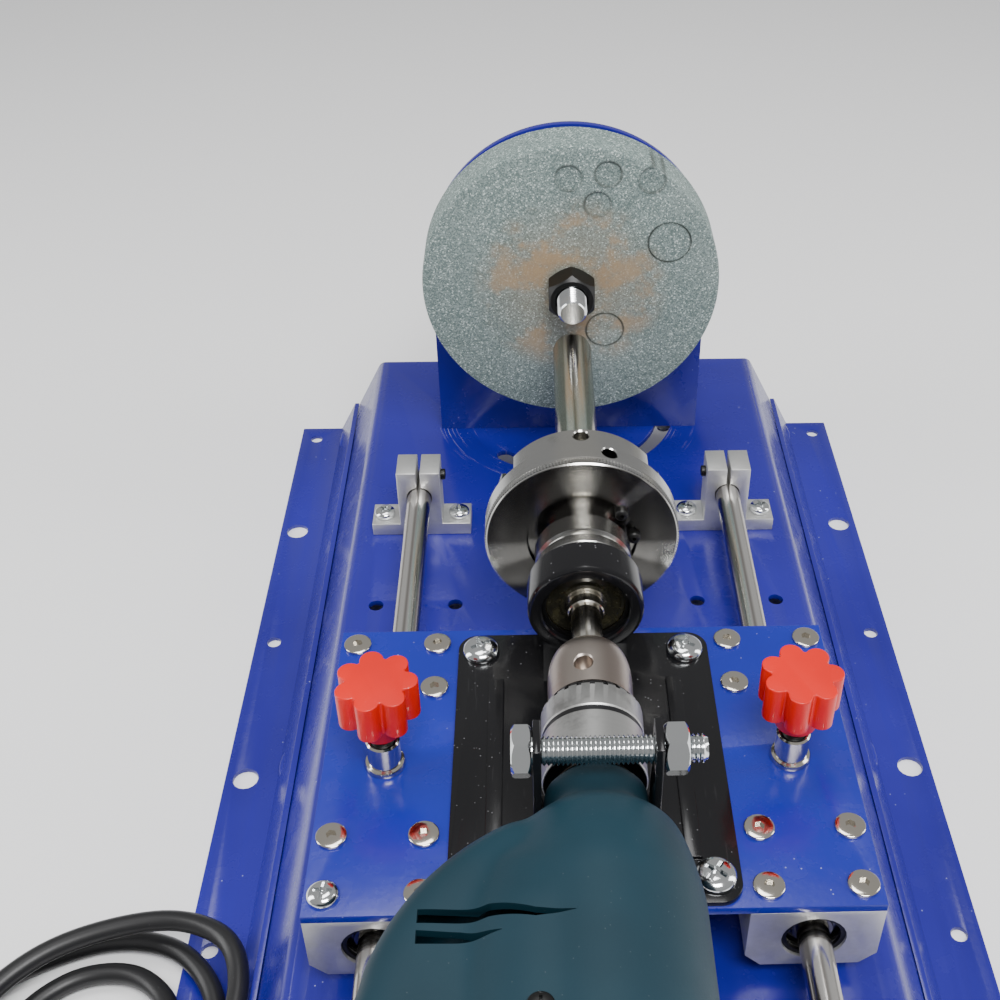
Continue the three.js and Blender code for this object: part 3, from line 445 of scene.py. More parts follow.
@dataclass(frozen=True)
class TurnedMetal(Finish):
    """Lathe-turned steel: fine grooves round an axis along Y, faint tarnish, painted highlight wedges, and
    turned sides painted paler than the faces.
    """

    centre: Place = (0.0, 0.0, 70.0)
    color: Place = (0.15, 0.147, 0.14)
    tarnish: Place = (0.1, 0.088, 0.076)
    stain: float = 0.25
    roughness: float = 0.16
    groove: float = 0.000004
    # Angles and reach of the painted highlight wedges, and the colour they are painted in.
    sheen: tuple[tuple[float, float], ...] = ((92.0, 0.95), (-12.0, 0.975), (192.0, 0.975), (48.0, 0.993))
    painted_highlight_color: Place = (0.52, 0.51, 0.48)
    # The turned sides are painted in this paler colour, the faces in the darker one: painted highlight and
    # painted shade on one steel.
    painted_rim_highlight_color: Place = (0.5, 0.5, 0.49)
    ring_rim: tuple[float, float] = (0.0331, 0.035)
    body_rim: tuple[float, float] = (0.0297, 0.0305)
    body_front: float = -0.0852
    hub_side: tuple[float, float] = (0.0149, 0.0168)
    hub_rear: float = -0.1008

    def painted_highlight_wedges(self, graph: Graph, x: Signal, z: Signal, radius: Signal) -> Signal:
        """Painted highlight: bright wedges at fixed angles round the axis, standing in for the sheen of fine
        turning marks.

        Args:
            graph: The material's graph.
            x: Distance right of the axis, in metres.
            z: Distance above it.
            radius: Distance from it.

        Returns:
            The wedges' strength, nought to one or a little over.
        """
        total = graph.noise(40.0, 2.0) * 0.12
        for angle, reach in self.sheen:
            across, up = math.cos(math.radians(angle)), math.sin(math.radians(angle))
            facing = (x * across + z * up) / radius
            total = total + facing.ramp(reach, 1.0)
        return total

    def sides(self, y: Signal, radius: Signal) -> Signal:
        """Turned sides painted paler than the faces: a painted highlight on the same steel.

        They are the scroll ring's rim, the chuck body's rim and the stepped hub. The
        drill chuck's sleeve lies within the hub's radii, so it is pale as well.

        Args:
            y: Distance along the axis, in metres.
            radius: Distance from it.

        Returns:
            One on those sides, nought elsewhere.
        """
        ring = radius.above(self.ring_rim[0]) * radius.below(self.ring_rim[1])
        body = y.above(self.body_front) * radius.above(self.body_rim[0]) * radius.below(self.body_rim[1])
        hub = radius.above(self.hub_side[0]) * radius.below(self.hub_side[1]) * y.below(self.hub_rear)
        return ring + body + hub

    def build(self, graph: Graph) -> bpy.types.Material:
        """Marks on faces and sides alike, tarnish in blotches, the painted paler sides and the painted
        highlight wedges.
        """
        x, y, z = graph.parts(graph.moved(Machine.part(*self.centre)))
        radius = (x * x + z * z).root()
        lathe = graph.node("ShaderNodeCombineXYZ", {}, {0: (radius + y) * 900.0})
        bands = graph.noise(1.0, 3.0, 0.7, lathe)
        blotch = graph.noise(75.0, 4.0, 0.65).ramp(0.5, 0.78)
        # Painted highlight: the turned sides take the paler colour.
        face = graph.mix(self.sides(y, radius), self.color, self.painted_rim_highlight_color)
        steel = graph.mix(blotch * self.stain + bands * 0.12, face, self.tarnish)
        return graph.dress(
            # Painted highlight wedges mixed over the steel.
            Base_Color=graph.mix(self.painted_highlight_wedges(graph, x, z, radius), steel, self.painted_highlight_color),
            Metallic=1.0,
            Roughness=bands * 0.08 + blotch * 0.08 + self.roughness,
            Normal=graph.bump(bands, self.groove, 0.6),
        )


@dataclass(frozen=True)
class BearingFace(Finish):
    """Sealed ball bearing: steel races, a black seal and the seal's brassy lips."""

    centre: Place = (0.0, 0.0, 70.0)
    inner: float = 7.0
    outer: float = 12.9

    def build(self, graph: Graph) -> bpy.types.Material:
        """Picks race, seal or lip by the distance from the axis."""
        x, _, z = graph.parts(graph.moved(Machine.part(*self.centre)))
        radius = (x * x + z * z).root() * 1000.0
        seal = radius.above(self.inner) * radius.below(self.outer)
        lip = radius.above(self.outer) * radius.below(self.outer + 0.5)
        grease = graph.noise(260.0, 2.0).ramp(0.4, 0.8) * 0.6
        race = graph.mix(grease * 0.5, (0.5, 0.48, 0.42), (0.22, 0.19, 0.12))
        dark = graph.mix(grease, (0.018, 0.017, 0.012), (0.05, 0.045, 0.02))
        return graph.dress(
            Base_Color=graph.mix(lip, graph.mix(seal, race, dark), (0.42, 0.34, 0.15)),
            Metallic=1.0 - seal * 0.8,
            Roughness=grease * 0.15 + 0.22,
            Normal=graph.bump(graph.noise(400.0, 2.0), 0.00001, 0.5),
        )


@dataclass(frozen=True)
class Plating(Finish):
    """Bright plated metal with a slight cloud and a few handling marks."""

    color: Place = (0.78, 0.79, 0.8)
    cloud: Place = (0.6, 0.6, 0.62)
    roughness: float = 0.16

    def build(self, graph: Graph) -> bpy.types.Material:
        """Plate, cloud and marks."""
        cloud = graph.noise(160.0, 3.0, 0.6).ramp(0.35, 0.75)
        marks = graph.noise(1500.0, 2.0, 0.6)
        return graph.dress(
            Base_Color=graph.mix(cloud, self.color, self.cloud),
            Metallic=1.0,
            Roughness=cloud * 0.12 + marks * 0.08 + self.roughness,
            Normal=graph.bump(marks, 0.000004, 0.5),
        )


@dataclass(frozen=True)
class Oxide(Finish):
    """Dark oxide on steel, brightened where handling has worn it."""

    color: Place = (0.02, 0.02, 0.021)
    worn: Place = (0.25, 0.2, 0.17)
    wear: float = 0.35
    roughness: float = 0.28

    def build(self, graph: Graph) -> bpy.types.Material:
        """Oxide, wear and an oily sheen."""
        rub = graph.noise(130.0, 4.0, 0.65).ramp(0.5, 0.8)
        grain = graph.noise(1800.0, 2.0)
        return graph.dress(
            Base_Color=graph.mix(rub * self.wear, self.color, self.worn),
            Metallic=0.85,
            Roughness=grain * 0.12 + self.roughness,
            Normal=graph.bump(grain, 0.00002, 0.8),
        )


@dataclass(frozen=True)
class GritWheel(Finish):
    """Bonded green grit with brown smears round the hub, painted shade round the pressed dents and dark lines
    round the scribed rings.
    """

    centre: Place = (0.0, 45.0, 91.0)
    marks: tuple[Place, ...] = (
        (-1.3, 49.0, 5.4),
        (14.6, 50.6, 5.4),
        (10.5, 37.7, 5.4),
        (32.3, 47.9, 5.4),
        (40.5, 20.4, 8.8),
        (14.5, -20.8, 8.0),
    )

    def edge(self, graph: Graph, x: Signal, z: Signal) -> Signal:
        """Darkens the edges of the pressed marks: painted shade round the dents, dark lines round the scribed
        rings.

        Args:
            graph: The material's graph.
            x: Distance right of the axis, in metres.
            z: Distance above it.

        Returns:
            One on the edges, nought elsewhere.
        """
        total = graph.noise(60.0) * 0.0
        for mark_x, mark_z, radius in self.marks:
            dx, dz = x - mark_x * MM, z - mark_z * MM
            away = ((dx * dx + dz * dz).root() - radius * MM).size()
            total = total + away.ramp(0.0002, 0.0009, 1.0, 0.0)
        return total * graph.noise(90.0, 2.0).ramp(0.3, 0.6, 0.35, 1.0)

    def build(self, graph: Graph) -> bpy.types.Material:
        """Grains of three shades, a ring of swarf stains and pitted relief."""
        x, _, z = graph.parts(graph.moved(Machine.part(*self.centre)))
        radius = (x * x + z * z).root()
        grain = graph.cells(2100.0, "Color")
        tone, _, _ = graph.parts(grain)
        fine = graph.noise(1500.0, 3.0, 0.7)
        bond = graph.mix(tone.ramp(0.1, 0.9), (0.11, 0.15, 0.143), (0.25, 0.31, 0.295))
        sparkle = graph.mix(tone.above(0.93) * 0.7, bond, (0.62, 0.7, 0.67))
        pits = graph.mix(fine.ramp(0.62, 0.7) * 0.5, sparkle, (0.06, 0.085, 0.08))
        patchy = graph.noise(52.0, 5.0, 0.62).ramp(0.46, 0.6)
        ring = radius.ramp(0.009, 0.014) * radius.ramp(0.03, 0.043, 1.0, 0.0)
        haze = radius.ramp(0.012, 0.045, 0.3, 0.0)
        stain = graph.mix(graph.noise(240.0, 3.0), (0.4, 0.265, 0.13), (0.27, 0.2, 0.14))
        stained = graph.mix(ring * patchy * 0.6 + haze, pits, stain)
        # Painted shade at the dents' edges, dark lines at the rings' edges.
        shaded_marks = graph.mix(self.edge(graph, x, z) * 0.7, stained, (0.05, 0.055, 0.05))
        dusty = graph.mix(graph.noise(16.0, 3.0).ramp(0.45, 0.7) * 0.15, shaded_marks, (0.3, 0.33, 0.32))
        return graph.dress(
            Base_Color=dusty,
            Roughness=0.9,
            Specular_IOR_Level=0.25,
            Normal=graph.bump(tone * 0.6 + fine * 0.6, 0.00035, 0.7),
        )


@dataclass(frozen=True)
class Moulding(Finish):
    """Moulded plastic with a spark texture and polished handling patches."""

    color: Place = (0.02, 0.09, 0.13)
    roughness: float = 0.42
    grain: float = 1500.0
    relief: float = 0.00003
    coat: float = 0.0
    specular: float = 0.5

    def build(self, graph: Graph) -> bpy.types.Material:
        """Texture, worn sheen and a little dust."""
        grain = graph.noise(self.grain, 2.0, 0.6)
        cloud = graph.noise(24.0, 3.0).ramp(0.3, 0.75)
        deeper = tuple(c * 0.78 for c in self.color)
        dust = graph.cells(380.0).below(0.055)
        return graph.dress(
            Base_Color=graph.mix(dust * 0.1, graph.mix(cloud, self.color, deeper), (0.4, 0.42, 0.43)),
            Roughness=cloud * 0.1 + grain * 0.08 + self.roughness,
            Normal=graph.bump(grain, self.relief, 0.8),
            Specular_IOR_Level=self.specular,
            Coat_Weight=self.coat,
            Coat_Roughness=0.08,
        )


@dataclass(frozen=True)
class Winding(Finish):
    """Varnished copper wound between dark laminations."""

    def build(self, graph: Graph) -> bpy.types.Material:
        """Wire stripes under varnish."""
        _, y, _ = graph.parts(graph.place)
        stripe = (y * 5200.0 + graph.noise(300.0) * 2.0).sine().ramp(-0.4, 0.6)
        return graph.dress(
            Base_Color=graph.mix(stripe, (0.05, 0.03, 0.02), (0.55, 0.22, 0.09)),
            Metallic=0.6,
            Roughness=stripe * 0.1 + 0.35,
            Normal=graph.bump(stripe, 0.0001, 0.8),
        )


@dataclass(frozen=True)
class PaleFloor(Finish):
    """Matt studio floor."""

    def build(self, graph: Graph) -> bpy.types.Material:
        """An even white with the faintest unevenness."""
        tone = graph.noise(3.0, 2.0)
        white = graph.mix(tone, (0.9, 0.9, 0.905), (0.88, 0.88, 0.885))
        return graph.dress(Base_Color=white, Roughness=0.85)


BLUE = PowderCoat("blue_powder_coat")
DECK_BLUE = ScratchedDeck("deck_powder_coat")
CARRIAGE_BLUE = PowderCoat(
    "carriage_powder_coat",
    color=(0.01, 0.018, 0.31),
    shade=(0.008, 0.013, 0.25),
    dust=0.03,
)
BLACK = Enamel("black_enamel")
ALLOY = BlastedMetal("blasted_alloy")
# Each steel's sheen angles place its painted highlight wedges or streaks.
CHUCK_STEEL = TurnedMetal("chuck_steel")
ROD_STEEL = TurnedMetal(
    "rod_steel",
    color=(0.4, 0.38, 0.36),
    tarnish=(0.3, 0.23, 0.18),
    stain=0.25,
    roughness=0.12,
    groove=0.000002,
    sheen=((70.0, 0.93), (112.0, 0.95)),
    painted_highlight_color=(0.85, 0.83, 0.8),
)
BIT_STEEL = TurnedMetal(
    "bit_steel",
    color=(0.34, 0.32, 0.27),
    tarnish=(0.3, 0.25, 0.18),
    stain=0.2,
    roughness=0.14,
    groove=0.000002,
    sheen=((76.0, 0.95), (108.0, 0.97)),
    painted_highlight_color=(0.9, 0.87, 0.8),
)
NOSE_STEEL = TurnedMetal(
    "drill_chuck_steel",
    color=(0.33, 0.28, 0.25),
    tarnish=(0.2, 0.12, 0.09),
    stain=0.6,
    roughness=0.3,
    sheen=((100.0, 0.8),),
    painted_highlight_color=(0.45, 0.4, 0.36),
)
SLEEVE_STEEL = TurnedMetal(
    "sleeve_steel",
    color=(0.05, 0.05, 0.053),
    tarnish=(0.03, 0.028, 0.026),
    stain=0.5,
    roughness=0.38,
    sheen=(),
    painted_highlight_color=(0.1, 0.1, 0.1),
)
ZINC = Plating("zinc_plate", color=(0.72, 0.75, 0.77), cloud=(0.6, 0.64, 0.66), roughness=0.36)
NICKEL = Plating("nickel_plate", color=(0.6, 0.56, 0.52), cloud=(0.45, 0.4, 0.37), roughness=0.24)
SEALED = BearingFace("sealed_bearing")
DARK = Oxide("black_oxide")
IRON = Oxide("lamination_iron", color=(0.09, 0.085, 0.08), worn=(0.2, 0.18, 0.16), wear=0.5, roughness=0.45)
GRIT = GritWheel("green_grit")
TEAL = Moulding("teal_moulding", color=(0.004, 0.028, 0.043), roughness=0.46, specular=0.3)
SOFT_BLACK = Moulding("black_moulding", color=(0.012, 0.012, 0.013), roughness=0.45)
RUBBER = Moulding("cord_rubber", color=(0.01, 0.01, 0.011), roughness=0.34, grain=900.0, relief=0.00001)
RED = Moulding(
    "red_moulding",
    color=(0.72, 0.006, 0.001),
    roughness=0.34,
    grain=300.0,
    relief=0.00002,
    coat=0.2,
    specular=0.35,
)
COPPER = Winding("copper_winding")
FLOOR = PaleFloor("studio_floor")


# ---------------------------------------------------------------------------
# Modelling steps
# ---------------------------------------------------------------------------


class Shop:
    """Modelling steps on Blender's own tools. Each leaves its piece active."""

    @staticmethod
    def clear() -> None:
        """Leaves edit mode and deselects everything."""
        if bpy.context.mode != "OBJECT":
            bpy.ops.object.mode_set(mode="OBJECT")
        bpy.ops.object.select_all(action="DESELECT")

    @staticmethod
    def pick(piece: bpy.types.Object) -> None:
        """Makes one piece the only selected one."""
        Shop.clear()
        piece.select_set(True)
        bpy.context.view_layer.objects.active = piece

    @staticmethod
    def settle(piece: bpy.types.Object) -> bpy.types.Object:
        """Moves a piece's place into its mesh, so its object sits at the origin."""
        bpy.context.view_layer.update()
        piece.data.transform(piece.matrix_world)
        piece.matrix_world = Matrix.Identity(4)
        return piece

    @staticmethod
    def edit(piece: bpy.types.Object, *steps: Callable[[], Any]) -> bpy.types.Object:
        """Runs steps in edit mode with all of the mesh selected."""
        Shop.pick(piece)
        bpy.ops.object.mode_set(mode="EDIT")
        bpy.ops.mesh.select_all(action="SELECT")
        for step in steps:
            step()
        bpy.ops.object.mode_set(mode="OBJECT")
        return piece

    @staticmethod
    def outward() -> None:
        """Merges doubles and turns all faces outwards; for edit mode."""
        bpy.ops.mesh.remove_doubles(threshold=0.000002)
        bpy.ops.mesh.normals_make_consistent(inside=False)

    @staticmethod
    def turn(
        name: str, profile: Profile, at: Place, axis: Axis = Axis.Y, sides: int = 64, ring: bool = False
    ) -> bpy.types.Object:
        """Turns a solid by extruding and resizing a circle step by step.

        Args:
            name: The piece's name.
            profile: Radius and distance along the axis at each step, in millimetres.
            at: Machine point that distances are measured from.
            axis: Direction of the distances.
            sides: Facets round the piece.
            ring: Whether the profile runs round a bore and back to its start.

        Returns:
            The piece.
        """
        origin = Machine.part(*at)
        steps = list(profile) + ([profile[0]] if ring else [])
        radius, along = steps[0]
        Shop.clear()
        bpy.ops.mesh.primitive_circle_add(
            vertices=sides,
            radius=radius * MM,
            fill_type="NOTHING" if ring else "NGON",
            location=origin + axis.vector * along * MM,
            rotation=axis.rotation,
        )
        piece = bpy.context.object
        piece.name = name
        bpy.ops.object.mode_set(mode="EDIT")
        bpy.ops.mesh.select_all(action="SELECT")
        for next_radius, next_along in steps[1:]:
            travel = axis.vector * (next_along - along) * MM
            bpy.ops.mesh.extrude_region_move(TRANSFORM_OT_translate={"value": travel})
            if next_radius != radius:
                share = next_radius / radius
                centre = origin + axis.vector * next_along * MM
                bpy.ops.transform.resize(value=(share, share, share), center_override=centre)
            radius, along = next_radius, next_along
        bpy.ops.mesh.select_all(action="SELECT")
        Shop.outward()
        bpy.ops.object.mode_set(mode="OBJECT")
        return Shop.settle(piece)

    @staticmethod
    def block(name: str, low: Place, high: Place) -> bpy.types.Object:
        """A box between two machine points.

        Args:
            name: The piece's name.
            low: Lowest corner in millimetres.
            high: Highest corner in millimetres.

        Returns:
            The piece.
        """
        a, b = Machine.part(*low), Machine.part(*high)
        Shop.clear()
        bpy.ops.mesh.primitive_cube_add(size=1.0, location=(a + b) / 2, scale=b - a)
        piece = bpy.context.object
        piece.name = name
        return Shop.settle(piece)

    @staticmethod
    def prism(
        name: str, corners: Sequence[tuple[float, float]], low: float, high: float, axis: Axis = Axis.Z
    ) -> bpy.types.Object:
        """An outline extruded along an axis.

        Args:
            name: The piece's name.
            corners: Outline points in the plane square to the axis, in millimetres.
            low: Where the piece starts along the axis.
            high: Where it ends.
            axis: Z takes (x, y) corners, Y takes (x, z) and X takes (y, z).

        Returns:
            The piece.
        """

        def at(u: float, v: float) -> Vector:
            """An outline corner at the piece's start."""
            if axis is Axis.Z:
                return Machine.part(u, v, low)
            return Machine.part(u, low, v) if axis is Axis.Y else Machine.part(low, u, v)

        Shop.clear()
        bpy.ops.mesh.primitive_circle_add(vertices=len(corners), radius=MM, fill_type="NGON")
        piece = bpy.context.object
        piece.name = name
        for vertex, corner in zip(piece.data.vertices, corners):
            vertex.co = at(*corner)
        piece.data.update()
        travel = axis.vector * (high - low) * MM
        Shop.edit(
            piece,
            lambda: bpy.ops.mesh.extrude_region_move(TRANSFORM_OT_translate={"value": travel}),
            lambda: bpy.ops.mesh.select_all(action="SELECT"),
            Shop.outward,
        )
        return Shop.settle(piece)

    @staticmethod
    def modify(piece: bpy.types.Object, kind: str, **settings: Any) -> bpy.types.Object:
        """Adds a modifier, sets it and applies it.

        Args:
            piece: The piece.
            kind: Blender's modifier type.
            **settings: The modifier's properties.

        Returns:
            The piece.
        """
        Shop.pick(piece)
        modifier = piece.modifiers.new(kind.lower(), kind)
        for key, value in settings.items():
            setattr(modifier, key, value)
        bpy.ops.object.modifier_apply(modifier=modifier.name)
        return piece

    @staticmethod
    def soften(
        piece: bpy.types.Object, width: float, segments: int = 2, angle: float = 35.0
    ) -> bpy.types.Object:
        """Rounds the sharp edges of a piece by a width in millimetres."""
        return Shop.modify(
            piece,
            "BEVEL",
            width=width * MM,
            segments=segments,
            limit_method="ANGLE",
            angle_limit=math.radians(angle),
            harden_normals=False,
            use_clamp_overlap=True,
        )

    @staticmethod
    def combine(
        piece: bpy.types.Object, tools: Iterable[bpy.types.Object], operation: str
    ) -> bpy.types.Object:
        """Cuts tools out of a piece, or joins them to it, and removes the tools."""
        for tool in tools:
            Shop.modify(piece, "BOOLEAN", object=tool, operation=operation, solver="EXACT")
            bpy.data.objects.remove(tool)
        return piece

    @staticmethod
    def cut(piece: bpy.types.Object, *tools: bpy.types.Object) -> bpy.types.Object:
        """Takes the tools' shapes out of a piece."""
        return Shop.combine(piece, tools, "DIFFERENCE")

    @staticmethod
    def join(piece: bpy.types.Object, *tools: bpy.types.Object) -> bpy.types.Object:
        """Adds the tools' shapes to a piece."""
        return Shop.combine(piece, tools, "UNION")

    @staticmethod
    def copy(piece: bpy.types.Object, name: str, matrix: Matrix) -> bpy.types.Object:
        """A copy with its own mesh, moved by a matrix."""
        made = piece.copy()
        made.data = piece.data.copy()
        made.name = name
        made.data.transform(matrix)
        bpy.context.scene.collection.objects.link(made)
        return made

    @staticmethod
    def smooth(piece: bpy.types.Object, angle: float = 32.0) -> bpy.types.Object:
        """Shades a piece smooth but for its sharp edges."""
        Shop.pick(piece)
        bpy.ops.object.shade_smooth_by_angle(angle=math.radians(angle))
        return piece


def around_y(angle: float, x: float, z: float) -> Matrix:
    """Turns points by an angle in degrees, from +X towards +Z, round an axis along Y.

    Args:
        angle: The turn in degrees.
        x: The axis's machine X.
        z: The axis's machine Z.

    Returns:
        The matrix in the part's frame.
    """
    centre = Machine.part(x, 0, z)
    turn = Matrix.Rotation(-math.radians(angle), 4, "Y")
    return Matrix.Translation(centre) @ turn @ Matrix.Translation(-centre)


class Dresser:
    """Gives finished pieces their finish and body, and reports them."""

    def __init__(self, nodes: dict[str, bpy.types.Object]) -> None:
        """Keeps the CAD nodes.

        Args:
            nodes: CAD node objects by name.
        """
        self.nodes = nodes
        self.count = 0

    def place(
        self,
        piece: bpy.types.Object,
        body: str,
        finish: Finish,
        slot: str,
        stands_for: Sequence[str] = (),
        smooth: float | None = 32.0,
    ) -> bpy.types.Object:
        """Finishes one piece.

        Args:
            piece: The piece, in place.
            body: CAD body that it rides on.
            finish: Its finish.
            slot: A material slot's name; not used.
            stands_for: CAD nodes that it replaces.
            smooth: Angle for smooth shading, or None to leave the shading.

        Returns:
            The piece.
        """
        if smooth is not None:
            Shop.smooth(piece, smooth)
        piece.data.materials.clear()
        piece.data.materials.append(finish.material())
        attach(piece, body)
        if stands_for:
            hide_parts(*stands_for)
        self.count += 1
        LOG.info("%s rides on %s", piece.name, body)
        return piece

    def refine(
        self, node: str, body: str, finish: Finish, slot: str, edge: float = 0.35, segments: int = 2
    ) -> bpy.types.Object:
        """Replaces a CAD node by a merged copy with its sharp edges softened.

        Args:
            node: The CAD node.
            body: CAD body that it rides on.
            finish: Its finish.
            slot: A material slot's name, handed on to place.
            edge: Width of the softened edges, in millimetres.
            segments: Steps across each softened edge.

        Returns:
            The new piece.
        """
        piece = self.merged(node)
        Shop.soften(piece, edge, segments)
        return self.place(piece, body, finish, slot, [node])

    def merged(self, node: str) -> bpy.types.Object:
        """A copy of a CAD node with its doubles merged and its flats made whole."""
        piece = Shop.copy(self.nodes[node], node + "_finished", Matrix.Identity(4))
        piece.parent = None
        for key in [k for k in piece.keys() if k.startswith("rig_")]:
            del piece[key]
        return Shop.edit(
            piece,
            lambda: bpy.ops.mesh.remove_doubles(threshold=0.000002),
            lambda: bpy.ops.mesh.dissolve_limited(angle_limit=math.radians(0.5)),
        )

    def repaint(self, node: str, finish: Finish) -> None:
        """Gives a CAD node that stays in view a finish."""
        data = self.nodes[node].data
        data.materials.clear()
        data.materials.append(finish.material())


# ---------------------------------------------------------------------------
# Fasteners
# ---------------------------------------------------------------------------


class Drive(Enum):
    """Shape of the recess in a screw's head."""

    CROSS = "cross"
    HEX = "hex"


@dataclass
class Screw:
    """A screw head that is modelled once and copied to each of its places."""

    name: str
    radius: float
    height: float
    drive: Drive
    finish: Finish
    slot: str
    dome: float = 0.6
    recess: float = 0.55

    def head(self) -> bpy.types.Object:
        """The head on the machine's origin, its seat at height nought."""
        r, h = self.radius, self.height
        low = h * (1 - self.dome)
        steps = [(r * 0.97, 0.0), (r, low * 0.3), (r, low)]
        for i in range(1, 9):
            angle = i / 8 * math.pi / 2
            steps.append((r * (0.3 + 0.7 * math.cos(angle)), low + (h - low) * math.sin(angle)))
        head = Shop.turn(self.name + "_pattern", steps, (0, 0, 0), Axis.Z, 32)
        depth = h * self.recess
        if self.drive is Drive.CROSS:
            arm, web = r * 0.56, r * 0.12
            first = Shop.block("arm", (-arm, -web, h - depth), (arm, web, h + 1))
            second = Shop.block("arm", (-web, -arm, h - depth), (web, arm, h + 1))
            bore = Shop.turn("bore", [(r * 0.2, h - depth - 0.2), (r * 0.27, h + 1)], (0, 0, 0), Axis.Z, 12)
            Shop.cut(head, first, second, bore)
        elif self.drive is Drive.HEX:
            Shop.cut(
                head, Shop.turn("socket", [(r * 0.36, h - depth), (r * 0.36, h + 1)], (0, 0, 0), Axis.Z, 6)
            )
        return head

    def drive_in(self, dresser: Dresser, body: str, places: Sequence[tuple[str, Matrix]]) -> None:
        """Copies the head to its places.

        Args:
            dresser: Finishes the copies.
            body: CAD body that they ride on.
            places: For each copy, the end of its name and its matrix.
        """
        pattern = self.head()
        for label, matrix in places:
            screw = Shop.copy(pattern, f"{self.name}_{label}", matrix)
            dresser.place(screw, body, self.finish, self.slot)
        bpy.data.objects.remove(pattern)


def stand(x: float, y: float, z: float, turn: float = 0.0) -> Matrix:
    """Puts an upright pattern at a machine point, turned by degrees round Z."""
    origin = Machine.part(0, 0, 0)
    spin = Matrix.Rotation(math.radians(turn), 4, "Z")
    return Matrix.Translation(Machine.part(x, y, z)) @ spin @ Matrix.Translation(-origin)


def lean(x: float, y: float, z: float, tilt: float, about: str, turn: float = 0.0) -> Matrix:
    """Puts an upright pattern at a machine point, tipped over by degrees about X or Y."""
    origin = Machine.part(0, 0, 0)
    tip = Matrix.Rotation(math.radians(tilt), 4, about)
    spin = Matrix.Rotation(math.radians(turn), 4, "Z")
    return Matrix.Translation(Machine.part(x, y, z)) @ tip @ spin @ Matrix.Translation(-origin)


def thread(start: float, end: float, crest: float, pitch: float) -> list[tuple[float, float]]:
    """Profile steps of a cut thread.

    Args:
        start: Where the thread starts along its axis.
        end: Where it ends.
        crest: Radius over the crests.
        pitch: Distance from crest to crest.

    Returns:
        Radius and distance pairs.
    """
    root = crest - pitch * 0.55
    turns = int(abs(end - start) / pitch)
    sense = 1 if end > start else -1
    steps: list[tuple[float, float]] = []
    for i in range(turns):
        y = start + sense * i * pitch
        steps += [(root, y), (crest, y + sense * pitch * 0.42), (crest, y + sense * pitch * 0.55)]
    steps.append((root, start + sense * turns * pitch))
    return steps


def hex_nut(
    name: str, flats: float, low: float, high: float, at: Place, axis: Axis, bore: float, cham: float = 0.5
) -> bpy.types.Object:
    """A hexagon with turned chamfers at both ends.

    Args:
        name: The piece's name.
        flats: Width across the flats.
        low: Where it starts along its axis.
        high: Where it ends.
        at: Machine point that distances are measured from.
        axis: The nut's axis, X, Y or Z.
        bore: Bore radius, or nought for a bolt's head.
        cham: Depth of the chamfers.

    Returns:
        The piece.
    """
    corner = flats / math.sqrt(3)
    nut = Shop.turn(name, [(corner, low), (corner, high)], at, axis, 6)
    shape = [
        (flats * 0.47, low), (corner, low + cham * 2.2), (corner, high - cham * 2.2), (flats * 0.47, high)
    ]
    Shop.combine(nut, [Shop.turn("chamfers", shape, at, axis, 48)], "INTERSECT")
    if bore:
        sink = [
            (bore * 1.14, low - 0.01), (bore, low + bore * 0.14), (bore, high - bore * 0.14),
            (bore * 1.14, high + 0.01),
        ]
        Shop.cut(nut, Shop.turn("bore", sink, at, axis, 32))
    return nut


# ---------------------------------------------------------------------------
# The machine's sub-assemblies
# ---------------------------------------------------------------------------


